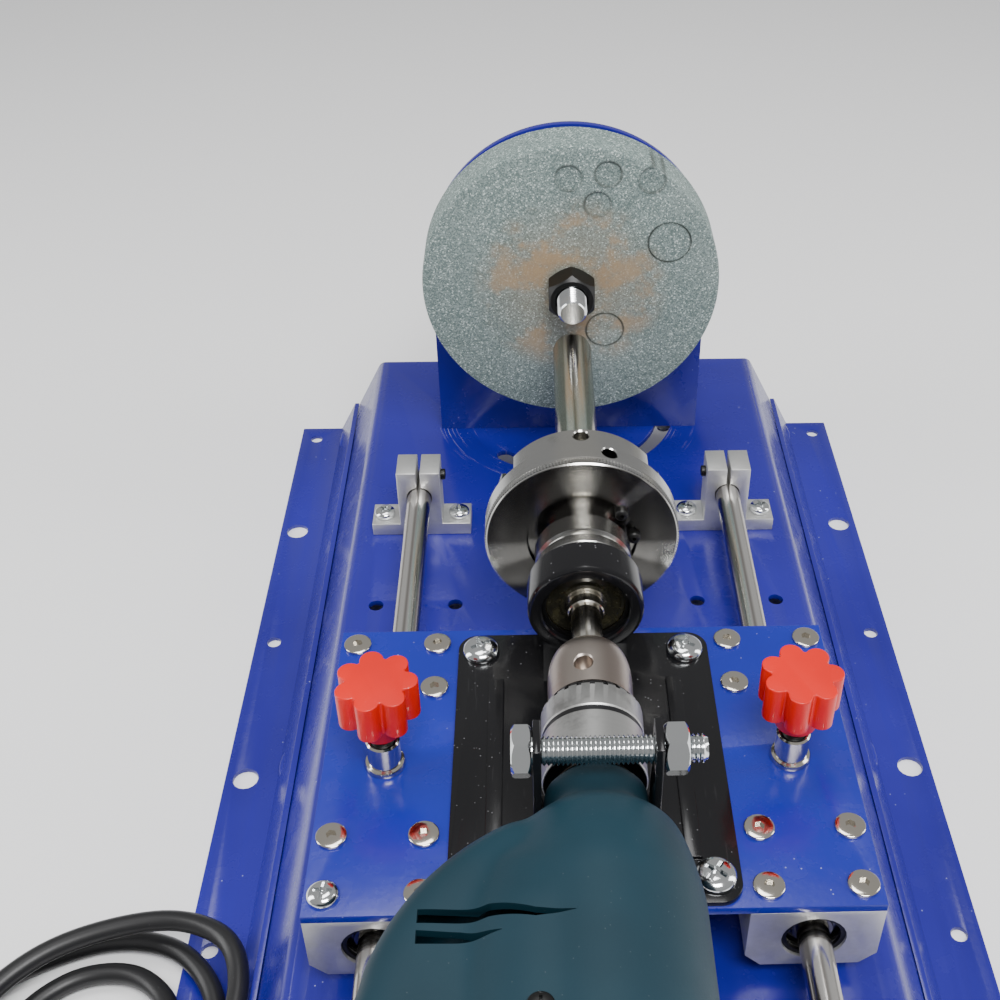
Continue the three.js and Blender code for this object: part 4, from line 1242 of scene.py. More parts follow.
@dataclass
class Base:
    """Folded base with its bolt-down flanges, shaft supports and rods."""

    dresser: Dresser
    deck_half: float = 94.0
    sheet: float = 2.5
    side_slope: float = 23.5 / 45.3
    rod_x: float = 65.2
    rod_height: float = 20.0
    rod_radius: float = 5.0
    rod_span: tuple[float, float] = (-310.0, 7.0)
    support_rows: tuple[float, float] = (0.0, -303.0)
    support_top: float = 32.8
    foot: float = 6.0
    foot_bolt: float = 16.0
    tacks: tuple[float, ...] = (121.0, -99.0, -300.0)
    pivot_y: float = 86.0

    def build(self) -> None:
        """Makes all of the base's pieces."""
        self.channel()
        for side in ("left", "right"):
            self.dresser.refine(f"flange_angle_{side}", "base", BLUE, "blue_paint", 0.5, 2)
            for end in ("rear", "front"):
                self.dresser.refine(
                    f"shaft_support_{end}_{side}", "base", ALLOY, "blasted_aluminium", 0.45, 2
                )
            self.rod(side)
        self.screws()
        self.welds()
        self.pivot()

    def channel(self) -> None:
        """The folded channel, with its bends rounded."""
        piece = self.dresser.merged("base_channel")
        lean_width = self.sheet * math.hypot(1, self.side_slope)
        inner = self.deck_half - lean_width + self.side_slope * self.sheet
        for x, z, width in ((self.deck_half, 0.0, 4.5), (inner, -self.sheet, 3.0)):
            self.round_bend(piece, x, z, width)
        Shop.soften(piece, 0.35, 2, 40.0)
        self.dresser.place(piece, "base", DECK_BLUE, "blue_paint", ["base_channel"])

    @staticmethod
    def round_bend(piece: bpy.types.Object, x: float, z: float, width: float) -> None:
        """Rounds the two lengthwise edges at machine |X| and Z.

        Args:
            piece: The channel.
            x: Distance of the edges from the middle.
            z: Their height.
            width: Width of the rounding.
        """
        level = Machine.part(0, 0, z).z
        Shop.edit(
            piece,
            lambda: bpy.ops.mesh.select_mode(type="EDGE"),
            lambda: bpy.ops.mesh.select_all(action="DESELECT"),
        )
        points = piece.data.vertices
        for edge in piece.data.edges:
            ends = [points[i].co for i in edge.vertices]
            edge.select = all(abs(abs(p.x) - x * MM) < 2e-5 and abs(p.z - level) < 2e-5 for p in ends)
        Shop.pick(piece)
        bpy.ops.object.mode_set(mode="EDIT")
        bpy.ops.mesh.bevel(offset=width * MM, segments=5, affect="EDGES")
        bpy.ops.object.mode_set(mode="OBJECT")

    def rod(self, side: str) -> None:
        """A ground rod with chamfered ends."""
        x = self.rod_x if side == "right" else -self.rod_x
        r, (front, rear) = self.rod_radius, self.rod_span
        steps = [(r - 0.8, front), (r, front + 0.8), (r, rear - 0.8), (r - 0.8, rear)]
        rod = Shop.turn(f"guide_rod_{side}_ground", steps, (x, 0, self.rod_height), Axis.Y, 64)
        finish = replace(ROD_STEEL, name=f"rod_steel_{side}", centre=(x, 0.0, self.rod_height))
        self.dresser.place(rod, "base", finish, "ground_steel", [f"guide_rod_{side}"])

    def screws(self) -> None:
        """Foot screws of the supports, and the small screws that clamp the rods."""
        feet, clamps = [], []
        for row, y in zip(("rear", "front"), self.support_rows):
            for side, sign in (("left", -1), ("right", 1)):
                x = sign * self.rod_x
                for i, offset in enumerate((-self.foot_bolt, self.foot_bolt)):
                    feet.append(
                        (
                            f"{row}_{side}_{i + 1}",
                            stand(x + offset, y, self.foot + 0.1, 20 + 35 * i + 50 * sign),
                        )
                    )
                spot = (x - sign * 9.1, y, self.support_top - 5.5)
                clamps.append((f"{row}_{side}", lean(*spot, -90 * sign, "Y")))
        Screw("support_foot_screw", 4.4, 2.9, Drive.CROSS, ZINC, "zinc_plate").drive_in(
            self.dresser, "base", feet
        )
        Screw("rod_clamp_screw", 2.3, 2.0, Drive.HEX, DARK, "black_oxide", 0.2).drive_in(
            self.dresser, "base", clamps
        )

    def welds(self) -> None:
        """Tack welds that hold the flange angles to the channel."""
        for sign, side in ((-1, "left"), (1, "right")):
            for i, y in enumerate(self.tacks):
                Shop.clear()
                spot = Machine.part(sign * 116.6, y, -41.0)
                bpy.ops.mesh.primitive_uv_sphere_add(segments=24, ring_count=12, radius=1.0, location=spot)
                tack = bpy.context.object
                tack.name = f"weld_tack_{side}_{i + 1}"
                tack.scale = Vector((2.1, 7.5, 2.1)) * MM
                Shop.settle(tack)
                texture = bpy.data.textures.get("weld_ripple") or bpy.data.textures.new(
                    "weld_ripple", "CLOUDS"
                )
                texture.noise_scale = 0.004
                Shop.modify(tack, "DISPLACE", texture=texture, strength=0.0007, mid_level=0.5)
                self.dresser.place(tack, "base", BLUE, "blue_paint", smooth=60.0)

    def pivot(self) -> None:
        """The swivel's bolt with a chamfered head, and the nut under the deck."""
        at = (0, self.pivot_y, 0)
        bolt = Shop.turn(
            "swivel_pivot_bolt_turned", thread(-11.5, -3.0, 5.0, 1.5) + [(5.0, -2.4), (5.0, 3.1)], at,
            Axis.Z, 48,
        )
        head = [(8.2, 3.1), (8.5, 3.4), (8.5, 8.4), (7.8, 9.05)]
        Shop.join(bolt, Shop.turn("head", head, at, Axis.Z, 48))
        Shop.cut(bolt, Shop.turn("socket", [(4.1, 5.2), (4.1, 10)], at, Axis.Z, 6))
        self.dresser.place(bolt, "base", ZINC, "zinc_plate", ["swivel_pivot_bolt"])
        nut = hex_nut("swivel_pivot_nut", 17, -9.5, -3.0, at, Axis.Z, 0)
        Shop.cut(nut, Shop.turn("bore", [(5.05, -12), (5.05, 0)], at, Axis.Z, 32))
        self.dresser.place(nut, "base", ZINC, "zinc_plate")


@dataclass
class GrindingHead:
    """Bracket, motor and wheel."""

    dresser: Dresser
    axis_height: float = 91.0
    wheel_radius: float = 62.5
    wheel_face: float = 45.0
    wheel_back: float = 65.0
    bore: float = 6.35
    cap_rear: float = 147.0
    bracket_face: float = 72.0
    dents: tuple[tuple[float, float], ...] = ((-1.3, 49.0), (14.6, 50.6), (10.5, 37.7), (32.3, 47.9))
    rings: tuple[tuple[float, float, float], ...] = ((40.5, 20.4, 8.4), (14.5, -20.8, 7.6))

    def at(self, x: float = 0.0, z: float = 0.0) -> Place:
        """A machine point beside the wheel's axis, at Y nought."""
        return (x, 0.0, self.axis_height + z)

    def build(self) -> None:
        """Makes all of the head's pieces."""
        self.dresser.refine("head_bracket", "head", BLUE, "blue_paint", 0.5, 2)
        self.motor()
        self.wheel()
        self.shaft()
        self.fasteners()
        for node in ("motor_stator", "motor_rotor"):
            self.dresser.repaint(node, IRON)
        self.dresser.repaint("motor_bearing", CHUCK_STEEL)

    def motor(self) -> None:
        """Case, slotted end cap, gland and button."""
        case = self.dresser.merged("motor_case")
        Shop.soften(case, 0.8, 3)
        self.dresser.place(case, "head", BLUE, "blue_paint", ["motor_case"])
        cap = self.dresser.merged("motor_rear_cap")
        slots = []
        for i in range(10):
            slot = Shop.block(
                "slot", (-1.2, self.cap_rear - 9, self.axis_height + 15),
                (1.2, self.cap_rear + 2, self.axis_height + 22),
            )
            slot.data.transform(around_y(36 * i + 18, 0, self.axis_height))
            slots.append(slot)
        Shop.cut(cap, *slots)
        Shop.soften(cap, 0.5, 2, 40.0)
        self.dresser.place(cap, "head", BLUE, "blue_paint", ["motor_rear_cap"])
        gland_at = (-13.0, self.cap_rear + 0.3, self.axis_height - 12)
        ribs = [
            (6.0, 0.0), (6.0, 3.0), (4.6, 3.3), (4.6, 4.4), (5.2, 4.7), (4.4, 7.0), (4.9, 7.3), (3.9, 11.0),
            (2.6, 11.0), (2.6, 0.0),
        ]
        gland = Shop.turn("motor_cable_gland_ribbed", ribs, gland_at, Axis.Y, 32, ring=True)
        self.dresser.place(gland, "head", RUBBER, "black_rubber", ["motor_cable_gland"])
        push = [(6.0, -7.0), (6.0, 2.9), (5.6, 3.6), (4.6, 4.0), (4.2, 3.6)]
        button = Shop.turn("switch_button_dished", push, (10, self.cap_rear, self.axis_height), Axis.Y, 40)
        self.dresser.place(button, "switch", RED, "red_plastic", ["switch_button"])

    def wheel(self) -> None:
        """The wheel, with pressed dents and rings on its face."""
        r, face, back = self.wheel_radius, self.wheel_face, self.wheel_back
        steps = [
            (self.bore, face), (r - 1.1, face), (r - 0.35, face + 0.3), (r, face + 1.2), (r, back - 0.6),
            (r - 0.6, back), (self.bore, back),
        ]
        wheel = Shop.turn("grinding_wheel_pressed", steps, self.at(), Axis.Y, 160, ring=True)
        tools = []
        for x, z in self.dents:
            tools.append(
                Shop.turn(
                    "dent", [(5.6, face - 1), (5.5, face + 0.2), (4.9, face + 0.75), (3.6, face + 0.95)],
                    self.at(x, z), Axis.Y, 40,
                )
            )
        for x, z, radius in self.rings:
            loop = [
                (radius, face - 1), (radius + 0.9, face - 1), (radius + 0.6, face + 0.6),
                (radius + 0.3, face + 0.6),
            ]
            tools.append(Shop.turn("scribe", loop, self.at(x, z), Axis.Y, 48, ring=True))
        Shop.cut(wheel, *tools)
        self.dresser.place(wheel, "wheel", GRIT, "silicon_carbide", ["grinding_wheel"])

    def shaft(self) -> None:
        """Motor shaft with its threaded stub, inner flange and nut."""
        stub = [(4.9, 23.0), (5.2, 23.4)] + thread(23.9, 44.6, 6.0, 1.75) + [
            (6.0, 46.0), (6.0, 133.4), (5.4, 134.0)
        ]
        self.dresser.place(
            Shop.turn("motor_shaft_threaded", stub, self.at(), Axis.Y, 48), "wheel", ZINC, "zinc_plate",
            ["motor_shaft"],
        )
        flange = [(6.3, 65.3), (19.0, 65.3), (19.0, 68.6), (17.6, 70.0), (6.3, 70.0)]
        plate = Shop.turn("wheel_inner_flange_turned", flange, self.at(), Axis.Y, 64, ring=True)
        self.dresser.place(plate, "wheel", DARK, "dark_steel", ["wheel_inner_flange"])
        nut = hex_nut("wheel_nut_chamfered", 19, 33.2, 44.7, self.at(), Axis.Y, 6.3, 0.9)
        self.dresser.place(nut, "wheel", DARK, "black_oxide", ["wheel_nut"])

    def fasteners(self) -> None:
        """Clamp bolt with its nut, and the screws that hold the motor together."""
        at = (47.0, 86.0, 0.0)
        bolt = Shop.turn(
            "head_clamp_bolt_threaded", thread(-11.5, -1.0, 3.0, 1.0) + [(3.0, 0.0), (3.0, 3.2)], at,
            Axis.Z, 32,
        )
        Shop.join(bolt, hex_nut("head", 10.4, 3.1, 8.05, at, Axis.Z, 0, 0.4))
        self.dresser.place(bolt, "head", ZINC, "zinc_plate", ["head_clamp_bolt"])
        nut = hex_nut("head_clamp_nut", 10, -8.2, -3.0, at, Axis.Z, 0, 0.4)
        Shop.cut(nut, Shop.turn("bore", [(3.05, -12), (3.05, 0)], at, Axis.Z, 24))
        self.dresser.place(nut, "head", ZINC, "zinc_plate")
        spots = []
        for i in range(4):
            angle = math.radians(45 + 90 * i)
            x, z = 28.5 * math.cos(angle), self.axis_height + 28.5 * math.sin(angle)
            spots.append((str(i + 1), lean(x, self.bracket_face, z, 90, "X", 30 * i)))
        Screw("motor_mount_screw", 4.2, 2.8, Drive.HEX, DARK, "black_oxide", 0.3).drive_in(
            self.dresser, "head", spots
        )


@dataclass
class Carriage:
    """Sliding plate, bearing blocks, mounting plate, bearing housing and clamp."""

    dresser: Dresser
    rod_x: float = 65.2
    rod_height: float = 20.0
    rows: tuple[float, float] = (-121.85, -204.15)
    plate_top: float = 36.05
    mount_top: float = 38.1
    screw_dx: float = 14.0
    screw_dy: float = 10.5
    spindle: float = 70.0
    lock_y: float = -165.0
    clamp_y: float = -211.5
    clamp_height: float = 94.0

    def build(self) -> None:
        """Makes all of the carriage's pieces."""
        self.dresser.refine("carriage_plate", "carriage", CARRIAGE_BLUE, "carriage_blue", 0.5, 2)
        for row in ("rear", "front"):
            for side in ("left", "right"):
                self.dresser.refine(
                    f"bearing_block_{row}_{side}", "carriage", ALLOY, "blasted_aluminium", 0.5, 2
                )
        self.linear_bearings()
        self.mounting_plate()
        self.screws()
        self.housing()
        self.clamp()
        self.locks()

    def linear_bearings(self) -> None:
        """Sleeves with a seal and a retaining ring at each end."""
        for row, y in zip(("rear", "front"), self.rows):
            for side, sign in (("left", -1), ("right", 1)):
                at = (sign * self.rod_x, y, self.rod_height)
                steps = [
                    (5.12, -14.5), (6.2, -14.5), (6.4, -13.9), (8.6, -13.9), (8.8, -14.5), (9.5, -14.2),
                    (9.5, 14.2),
                ]
                steps += [(8.8, 14.5), (8.6, 13.9), (6.4, 13.9), (6.2, 14.5), (5.12, 14.5)]
                sleeve = Shop.turn(f"linear_bearing_{row}_{side}_sealed", steps, at, Axis.Y, 48, ring=True)
                self.dresser.place(
                    sleeve, "carriage", CHUCK_STEEL, "ground_steel", [f"linear_bearing_{row}_{side}"]
                )
                for end, near in (("inner", 16.0), ("outer", -16.0)):
                    loop = [(8.2, near - 0.55), (9.7, near - 0.55), (9.7, near + 0.55), (8.2, near + 0.55)]
                    clip = Shop.turn(f"retaining_ring_{row}_{side}_{end}", loop, at, Axis.Y, 40, ring=True)
                    gap = Shop.block(
                        "gap", (at[0] - 2.2, y + near - 2, self.rod_height - 12),
                        (at[0] + 2.2, y + near + 2, self.rod_height - 6),
                    )
                    Shop.cut(clip, gap)
                    self.dresser.place(clip, "carriage", DARK, "dark_steel")

    def mounting_plate(self) -> None:
        """The ribbed black plate, its edges softened."""
        plate = self.dresser.merged("mounting_plate")
        Shop.soften(plate, 0.7, 3, 40.0)
        self.dresser.place(plate, "carriage", BLACK, "black_gloss", ["mounting_plate"])

    def screws(self) -> None:
        """Block screws through the plate, and the mounting plate's big pan screws."""
        flat, domed = [], []
        for row, y in zip(("rear", "front"), self.rows):
            for side, sign in (("left", -1), ("right", 1)):
                for i, (dx, dy) in enumerate(((-1, 1), (1, 1), (-1, -1), (1, -1))):
                    x = sign * self.rod_x + dx * self.screw_dx
                    spot = stand(x, y + dy * self.screw_dy, self.plate_top, 17 * i + 40 * sign)
                    outer_front_left = row == "front" and side == "left" and i == 2
                    (domed if outer_front_left else flat).append((f"{row}_{side}_{i + 1}", spot))
        Screw("block_screw", 4.75, 1.5, Drive.HEX, NICKEL, "nickel_plate", 0.3, 0.8).drive_in(
            self.dresser, "carriage", flat
        )
        Screw("block_screw_domed", 5.0, 3.2, Drive.CROSS, ZINC, "zinc_plate", 0.85, 0.45).drive_in(
            self.dresser, "carriage", domed
        )
        corners = [(-35.7, -117.0), (35.4, -117.6), (-35.6, -211.7), (35.6, -212.2)]
        pans = [(str(i + 1), stand(x, y, self.mount_top, 25 + 40 * i)) for i, (x, y) in enumerate(corners)]
        Screw("mounting_screw", 6.4, 3.4, Drive.CROSS, ZINC, "zinc_plate", 0.8, 0.5).drive_in(
            self.dresser, "carriage", pans
        )

    def housing(self) -> None:
        """Bearing housing on its upright, with bearing and circlip."""
        at = (0, 0, self.spindle)
        ring = [
            (19.2, -130.3), (19.2, -119.1), (18.4, -118.3), (12.2, -118.3), (12.0, -119.9), (14.3, -119.9),
            (14.3, -131.6),
        ]
        ring += [(14.8, -132.1), (17.5, -132.1), (18.4, -131.8), (19.0, -131.2)]
        housing = Shop.turn("spindle_housing_turned", ring, at, Axis.Y, 96, ring=True)
        web = Shop.block("web", (-14, -131.9, self.mount_top + 0.05), (14, -118.5, self.spindle - 14.6))
        Shop.join(housing, web)
        Shop.cut(housing, Shop.turn("seat", [(14.3, -134), (14.3, -119.9)], at, Axis.Y, 96))
        Shop.soften(housing, 0.35, 2, 40.0)
        self.dresser.place(housing, "carriage", BLACK, "black_gloss", ["spindle_housing"])
        rear, front = -120.2, -128.2
        race = [
            (6.09, front), (8.3, front), (8.5, front + 0.8), (11.5, front + 0.5), (11.7, front),
            (13.7, front), (14.0, front + 0.4),
        ]
        race += [
            (14.0, rear - 0.4), (13.7, rear), (11.7, rear), (11.5, rear - 0.5), (8.5, rear - 0.8),
            (8.3, rear), (6.09, rear),
        ]
        bearing = Shop.turn("spindle_bearing_shielded", race, at, Axis.Y, 64, ring=True)
        self.dresser.place(bearing, "carriage", SEALED, "ground_steel", ["spindle_bearing"])
        clip = Shop.turn(
            "bearing_circlip", [(13.1, -129.5), (14.2, -129.5), (14.2, -128.5), (13.1, -128.5)], at, Axis.Y,
            64, ring=True,
        )
        Shop.cut(clip, Shop.block("gap", (-2.4, -131, self.spindle - 16), (2.4, -127, self.spindle - 8)))
        for sign in (-1, 1):
            Shop.join(
                clip,
                Shop.turn(
                    "lug", [(1.2, -129.5), (1.2, -128.5)], (sign * 3.1, 0, self.spindle - 12.5), Axis.Y, 20
                ),
            )
        self.dresser.place(clip, "carriage", DARK, "dark_steel")

    def clamp(self) -> None:
        """Saddle with its cross bolt and nut."""
        self.dresser.refine("drill_clamp", "carriage", BLACK, "black_gloss", 0.4, 2)
        at = (0, self.clamp_y, self.clamp_height)
        shank = [(4.0, -18.0), (4.0, -15.5)] + thread(-15.0, 28.8, 4.0, 1.25) + [(3.0, 29.5)]
        bolt = Shop.turn("clamp_bolt_threaded", shank, at, Axis.X, 40)
        head = hex_nut("head", 13, -23.3, -17.8, at, Axis.X, 0, 0.45)
        Shop.join(bolt, head)
        self.dresser.place(bolt, "carriage", ZINC, "zinc_plate", ["clamp_bolt"])
        nut = hex_nut("clamp_nut_chamfered", 13, 17.8, 24.3, at, Axis.X, 4.2, 0.45)
        self.dresser.place(nut, "carriage", ZINC, "zinc_plate", ["clamp_nut"])

    def locks(self) -> None:
        """Flanged bushings and star knobs."""
        for side, sign in (("left", -1), ("right", 1)):
            at = (sign * self.rod_x, self.lock_y, 0)
            collar = [
                (4.35, 33.1), (5.4, 33.1), (5.4, 36.1), (6.6, 36.1), (6.6, 37.2), (6.2, 37.9), (5.4, 38.3),
                (5.4, 47.3), (4.9, 48.0), (4.35, 48.0),
            ]
            bushing = Shop.turn(f"lock_bushing_{side}_flanged", collar, at, Axis.Z, 48, ring=True)
            self.dresser.place(bushing, "carriage", NICKEL, "nickel_plate", [f"lock_bushing_{side}"])
            self.knob(side, at)

    def knob(self, side: str, at: Place) -> None:
        """One star knob: a scalloped cap with a rounded edge, on a tapered hub and a threaded stud.

        Args:
            side: Which of the two.
            at: Machine point on its axis.
        """
        lobes, steps, centre, lobe, valley = 7, 20, 9.4, 3.6, 9.7
        corners = []
        for i in range(lobes * steps):
            angle = 2 * math.pi * i / (lobes * steps)
            off = (angle + math.pi / lobes) % (2 * math.pi / lobes) - math.pi / lobes
            room = lobe * lobe - (centre * math.sin(off)) ** 2
            tip = centre * math.cos(off) + math.sqrt(room) if room > 0 else 0.0
            reach = (tip**12 + valley**12) ** (1 / 12) - 0.12
            corners.append((at[0] + reach * math.cos(angle), at[1] + reach * math.sin(angle)))
        cap = Shop.prism(f"lock_knob_{side}_star", corners, 60.0, 74.0)
        Shop.soften(cap, 2.2, 4, 60.0)
        hub = Shop.turn("hub", [(5.6, 52.0), (6.6, 52.5), (8.0, 60.6)], at, Axis.Z, 40)
        Shop.join(cap, hub)
        stud = Shop.turn(
            f"lock_stud_{side}", [(3.2, 26.0)] + thread(26.6, 50.4, 4.0, 1.25) + [(4.0, 51.6)], at, Axis.Z,
            32,
        )
        body = f"lock_{side}"
        self.dresser.place(cap, body, RED, "red_plastic", [f"lock_knob_{side}"])
        self.dresser.place(stud, body, DARK, "black_oxide")


@dataclass
class WorkSpindle:
    """Scroll chuck, bit and the drill's own chuck, all turning on one axis."""

    dresser: Dresser
    height: float = 70.0
    jaw_angles: tuple[float, ...] = (30.0, 150.0, 270.0)

    def at(self) -> Place:
        """Machine point on the axis, at Y nought."""
        return (0.0, 0.0, self.height)

    def radial_tool(
        self, radius: float, depth: float, bore: float, angle: float, y: float
    ) -> bpy.types.Object:
        """A drill bit's shape laid along a radius, for cutting key holes.

        Args:
            radius: Where the hole breaks the surface.
            depth: How deep it goes.
            bore: Its radius.
            angle: Its angle round the axis, in degrees from +X.
            y: Its machine Y.

        Returns:
            The cutting shape.
        """
        steps = [
            (bore, radius - depth), (bore, radius - 0.5), (bore + 0.9, radius + 0.4),
            (bore + 0.9, radius + 3),
        ]
        tool = Shop.turn("key_hole", steps, (0, y, self.height), Axis.X, 28)
        tool.data.transform(around_y(angle, 0, self.height))
        return tool

    def build(self) -> None:
        """Makes all of the spindle's pieces."""
        self.back_plate()
        self.ring()
        self.body()
        self.bit()
        self.drill_chuck()

    def back_plate(self) -> None:
        """Shaft, stepped hub and flange, with its cap screws."""
        steps = [
            (6.3, -115.2), (6.9, -115.8), (15.9, -115.8), (16.5, -115.2), (16.5, -111.8), (15.3, -111.2),
            (15.3, -109.6), (16.5, -109.0),
        ]
        steps += [
            (16.5, -101.6), (16.1, -101.2), (13.0, -101.2), (13.0, -93.9), (18.8, -93.9), (19.2, -95.7),
            (23.0, -95.7),
        ]
        steps += [(23.0, -91.7), (17.0, -91.7), (17.0, -85.6), (8.6, -85.6), (8.6, -92.9), (6.3, -92.9)]
        plate = Shop.turn("chuck_back_plate_turned", steps, self.at(), Axis.Y, 96, ring=True)
        self.dresser.place(plate, "work_spindle", CHUCK_STEEL, "machined_steel", ["chuck_back_plate"])
        shaft = [
            (4.6, -166.0), (5.0, -165.6), (5.0, -133.1), (5.6, -133.1), (6.0, -132.7), (6.0, -101.3),
            (5.4, -100.7),
        ]
        spindle = Shop.turn("spindle_shaft_ground", shaft, self.at(), Axis.Y, 64)
        self.dresser.place(spindle, "work_spindle", BIT_STEEL, "ground_steel", ["spindle_shaft"])
        spots = []
        for i, angle in enumerate((42.0, 6.0, 250.0)):
            x = 18.0 * math.cos(math.radians(angle))
            z = self.height + 18.0 * math.sin(math.radians(angle))
            spots.append((str(i + 1), lean(x, -94.0, z, 90, "X", 20 * i)))
        Screw("back_plate_screw", 2.3, 3.9, Drive.HEX, DARK, "black_oxide", 0.25, 0.6).drive_in(
            self.dresser, "work_spindle", spots
        )

    def ring(self) -> None:
        """Scroll ring with a milled rim and key holes."""
        steps = [
            (17.09, -91.4), (23.04, -91.4), (23.04, -95.7), (32.9, -95.7), (33.35, -95.2), (33.35, -92.6)
        ]
        steps += [(33.8, -92.3), (33.8, -85.9), (33.5, -85.6), (17.09, -85.6)]
        ring = Shop.turn("scroll_ring_turned", steps, self.at(), Axis.Y, 128, ring=True)
        teeth = []
        for i in range(360):
            angle, reach = math.radians(i), 33.8 if i % 2 else 33.3
            teeth.append((reach * math.cos(angle), self.height + reach * math.sin(angle)))
        knurl = Shop.prism("knurl", teeth, -95.1, -92.7, Axis.Y)
        Shop.cut(knurl, Shop.turn("bore", [(30.0, -96.5), (30.0, -91.0)], self.at(), Axis.Y, 64))
        Shop.join(ring, knurl)
        for angle in (74.0, 194.0, 314.0):
            Shop.cut(ring, self.radial_tool(33.8, 7.0, 2.7, angle, -88.6))
        self.dresser.place(ring, "ring", CHUCK_STEEL, "machined_steel", ["scroll_ring"])

    def body(self) -> None:
        """Chuck body and its three stepped jaws."""
        steps = [
            (8.6, -85.3), (29.6, -85.3), (30.0, -84.9), (30.0, -71.4), (28.8, -70.2), (9.4, -70.2),
            (8.6, -71.0),
        ]
        body = Shop.turn("chuck_body_turned", steps, self.at(), Axis.Y, 128, ring=True)
        tools = []
        for angle in self.jaw_angles:
            slot = Shop.block("slot", (0, -82.5, self.height - 4.3), (33, -69, self.height + 4.3))
            slot.data.transform(around_y(angle, 0, self.height))
            tools.append(slot)
        tools += [self.radial_tool(30.0, 7.0, 2.7, angle, -74.8) for angle in (90.0, 210.0, 330.0)]
        Shop.cut(body, *tools)
        Shop.soften(body, 0.25, 2, 50.0)
        self.dresser.place(body, "work_spindle", CHUCK_STEEL, "machined_steel", ["chuck_body"])
        for i in range(len(self.jaw_angles)):
            self.dresser.refine(f"chuck_jaw_{i + 1}", f"jaw_{i + 1}", CHUCK_STEEL, "machined_steel", 0.4, 2)

    def bit(self) -> None:
        """The bit, with a rounded nose and a slot across its end."""
        steps = [(7.4, -92.7), (8.0, -92.1), (8.0, 28.0), (7.6, 29.8), (6.5, 31.5), (5.0, 33.0), (3.0, 34.0)]
        bit = Shop.turn("work_bit_ground", steps, self.at(), Axis.Y, 64)
        Shop.cut(bit, Shop.block("slot", (-0.9, 30.2, self.height - 9), (0.9, 36, self.height + 9)))
        self.dresser.place(bit, "work_spindle", BIT_STEEL, "ground_steel", ["work_bit"])

    def drill_chuck(self) -> None:
        """Keyed chuck with a rounded nose, key holes and a toothed sleeve."""
        steps = [(5.3, -152.6), (5.9, -152.0), (8.0, -152.0)]
        for i in range(1, 9):
            angle = math.radians(i * 11.25)
            steps.append((8.0 + 5.0 * math.sin(angle), -152.0 - 12.0 * (1 - math.cos(angle))))
        steps += [
            (13.0, -174.7), (11.0, -174.7), (11.0, -204.0), (5.0, -204.0), (5.0, -231.0), (0.2, -231.0),
            (0.2, -166.3), (5.3, -166.3),
        ]
        chuck = Shop.turn("drill_chuck_turned", steps, self.at(), Axis.Y, 72, ring=True)
        for angle in (100.0, 220.0, 340.0):
            Shop.cut(chuck, self.radial_tool(12.9, 6.0, 2.9, angle, -167.0))
        self.dresser.place(chuck, "work_spindle", NOSE_STEEL, "dark_steel", ["drill_chuck"])
        sleeve = [
            (11.09, -175.3), (13.4, -175.3), (15.2, -178.2), (15.2, -186.0), (14.8, -186.6), (14.8, -188.0),
            (15.2, -188.6), (15.2, -203.0), (14.7, -203.5), (11.09, -203.5),
        ]
        shell = Shop.turn("drill_chuck_sleeve_toothed", sleeve, self.at(), Axis.Y, 96, ring=True)
        tools = []
        for i in range(24):
            gap = Shop.prism(
                "gap", [(13.0, -177.4), (17.0, -179.6), (17.0, -174.0), (13.0, -174.0)], self.height - 0.75,
                self.height + 0.75,
            )
            gap.data.transform(around_y(15 * i, 0, self.height))
            tools.append(gap)
        cutter = tools[0]
        Shop.clear()
        for tool in tools:
            tool.select_set(True)
        bpy.context.view_layer.objects.active = cutter
        bpy.ops.object.join()
        Shop.cut(shell, cutter)
        self.dresser.place(shell, "sleeve", SLEEVE_STEEL, "dark_steel", ["drill_chuck_sleeve"])


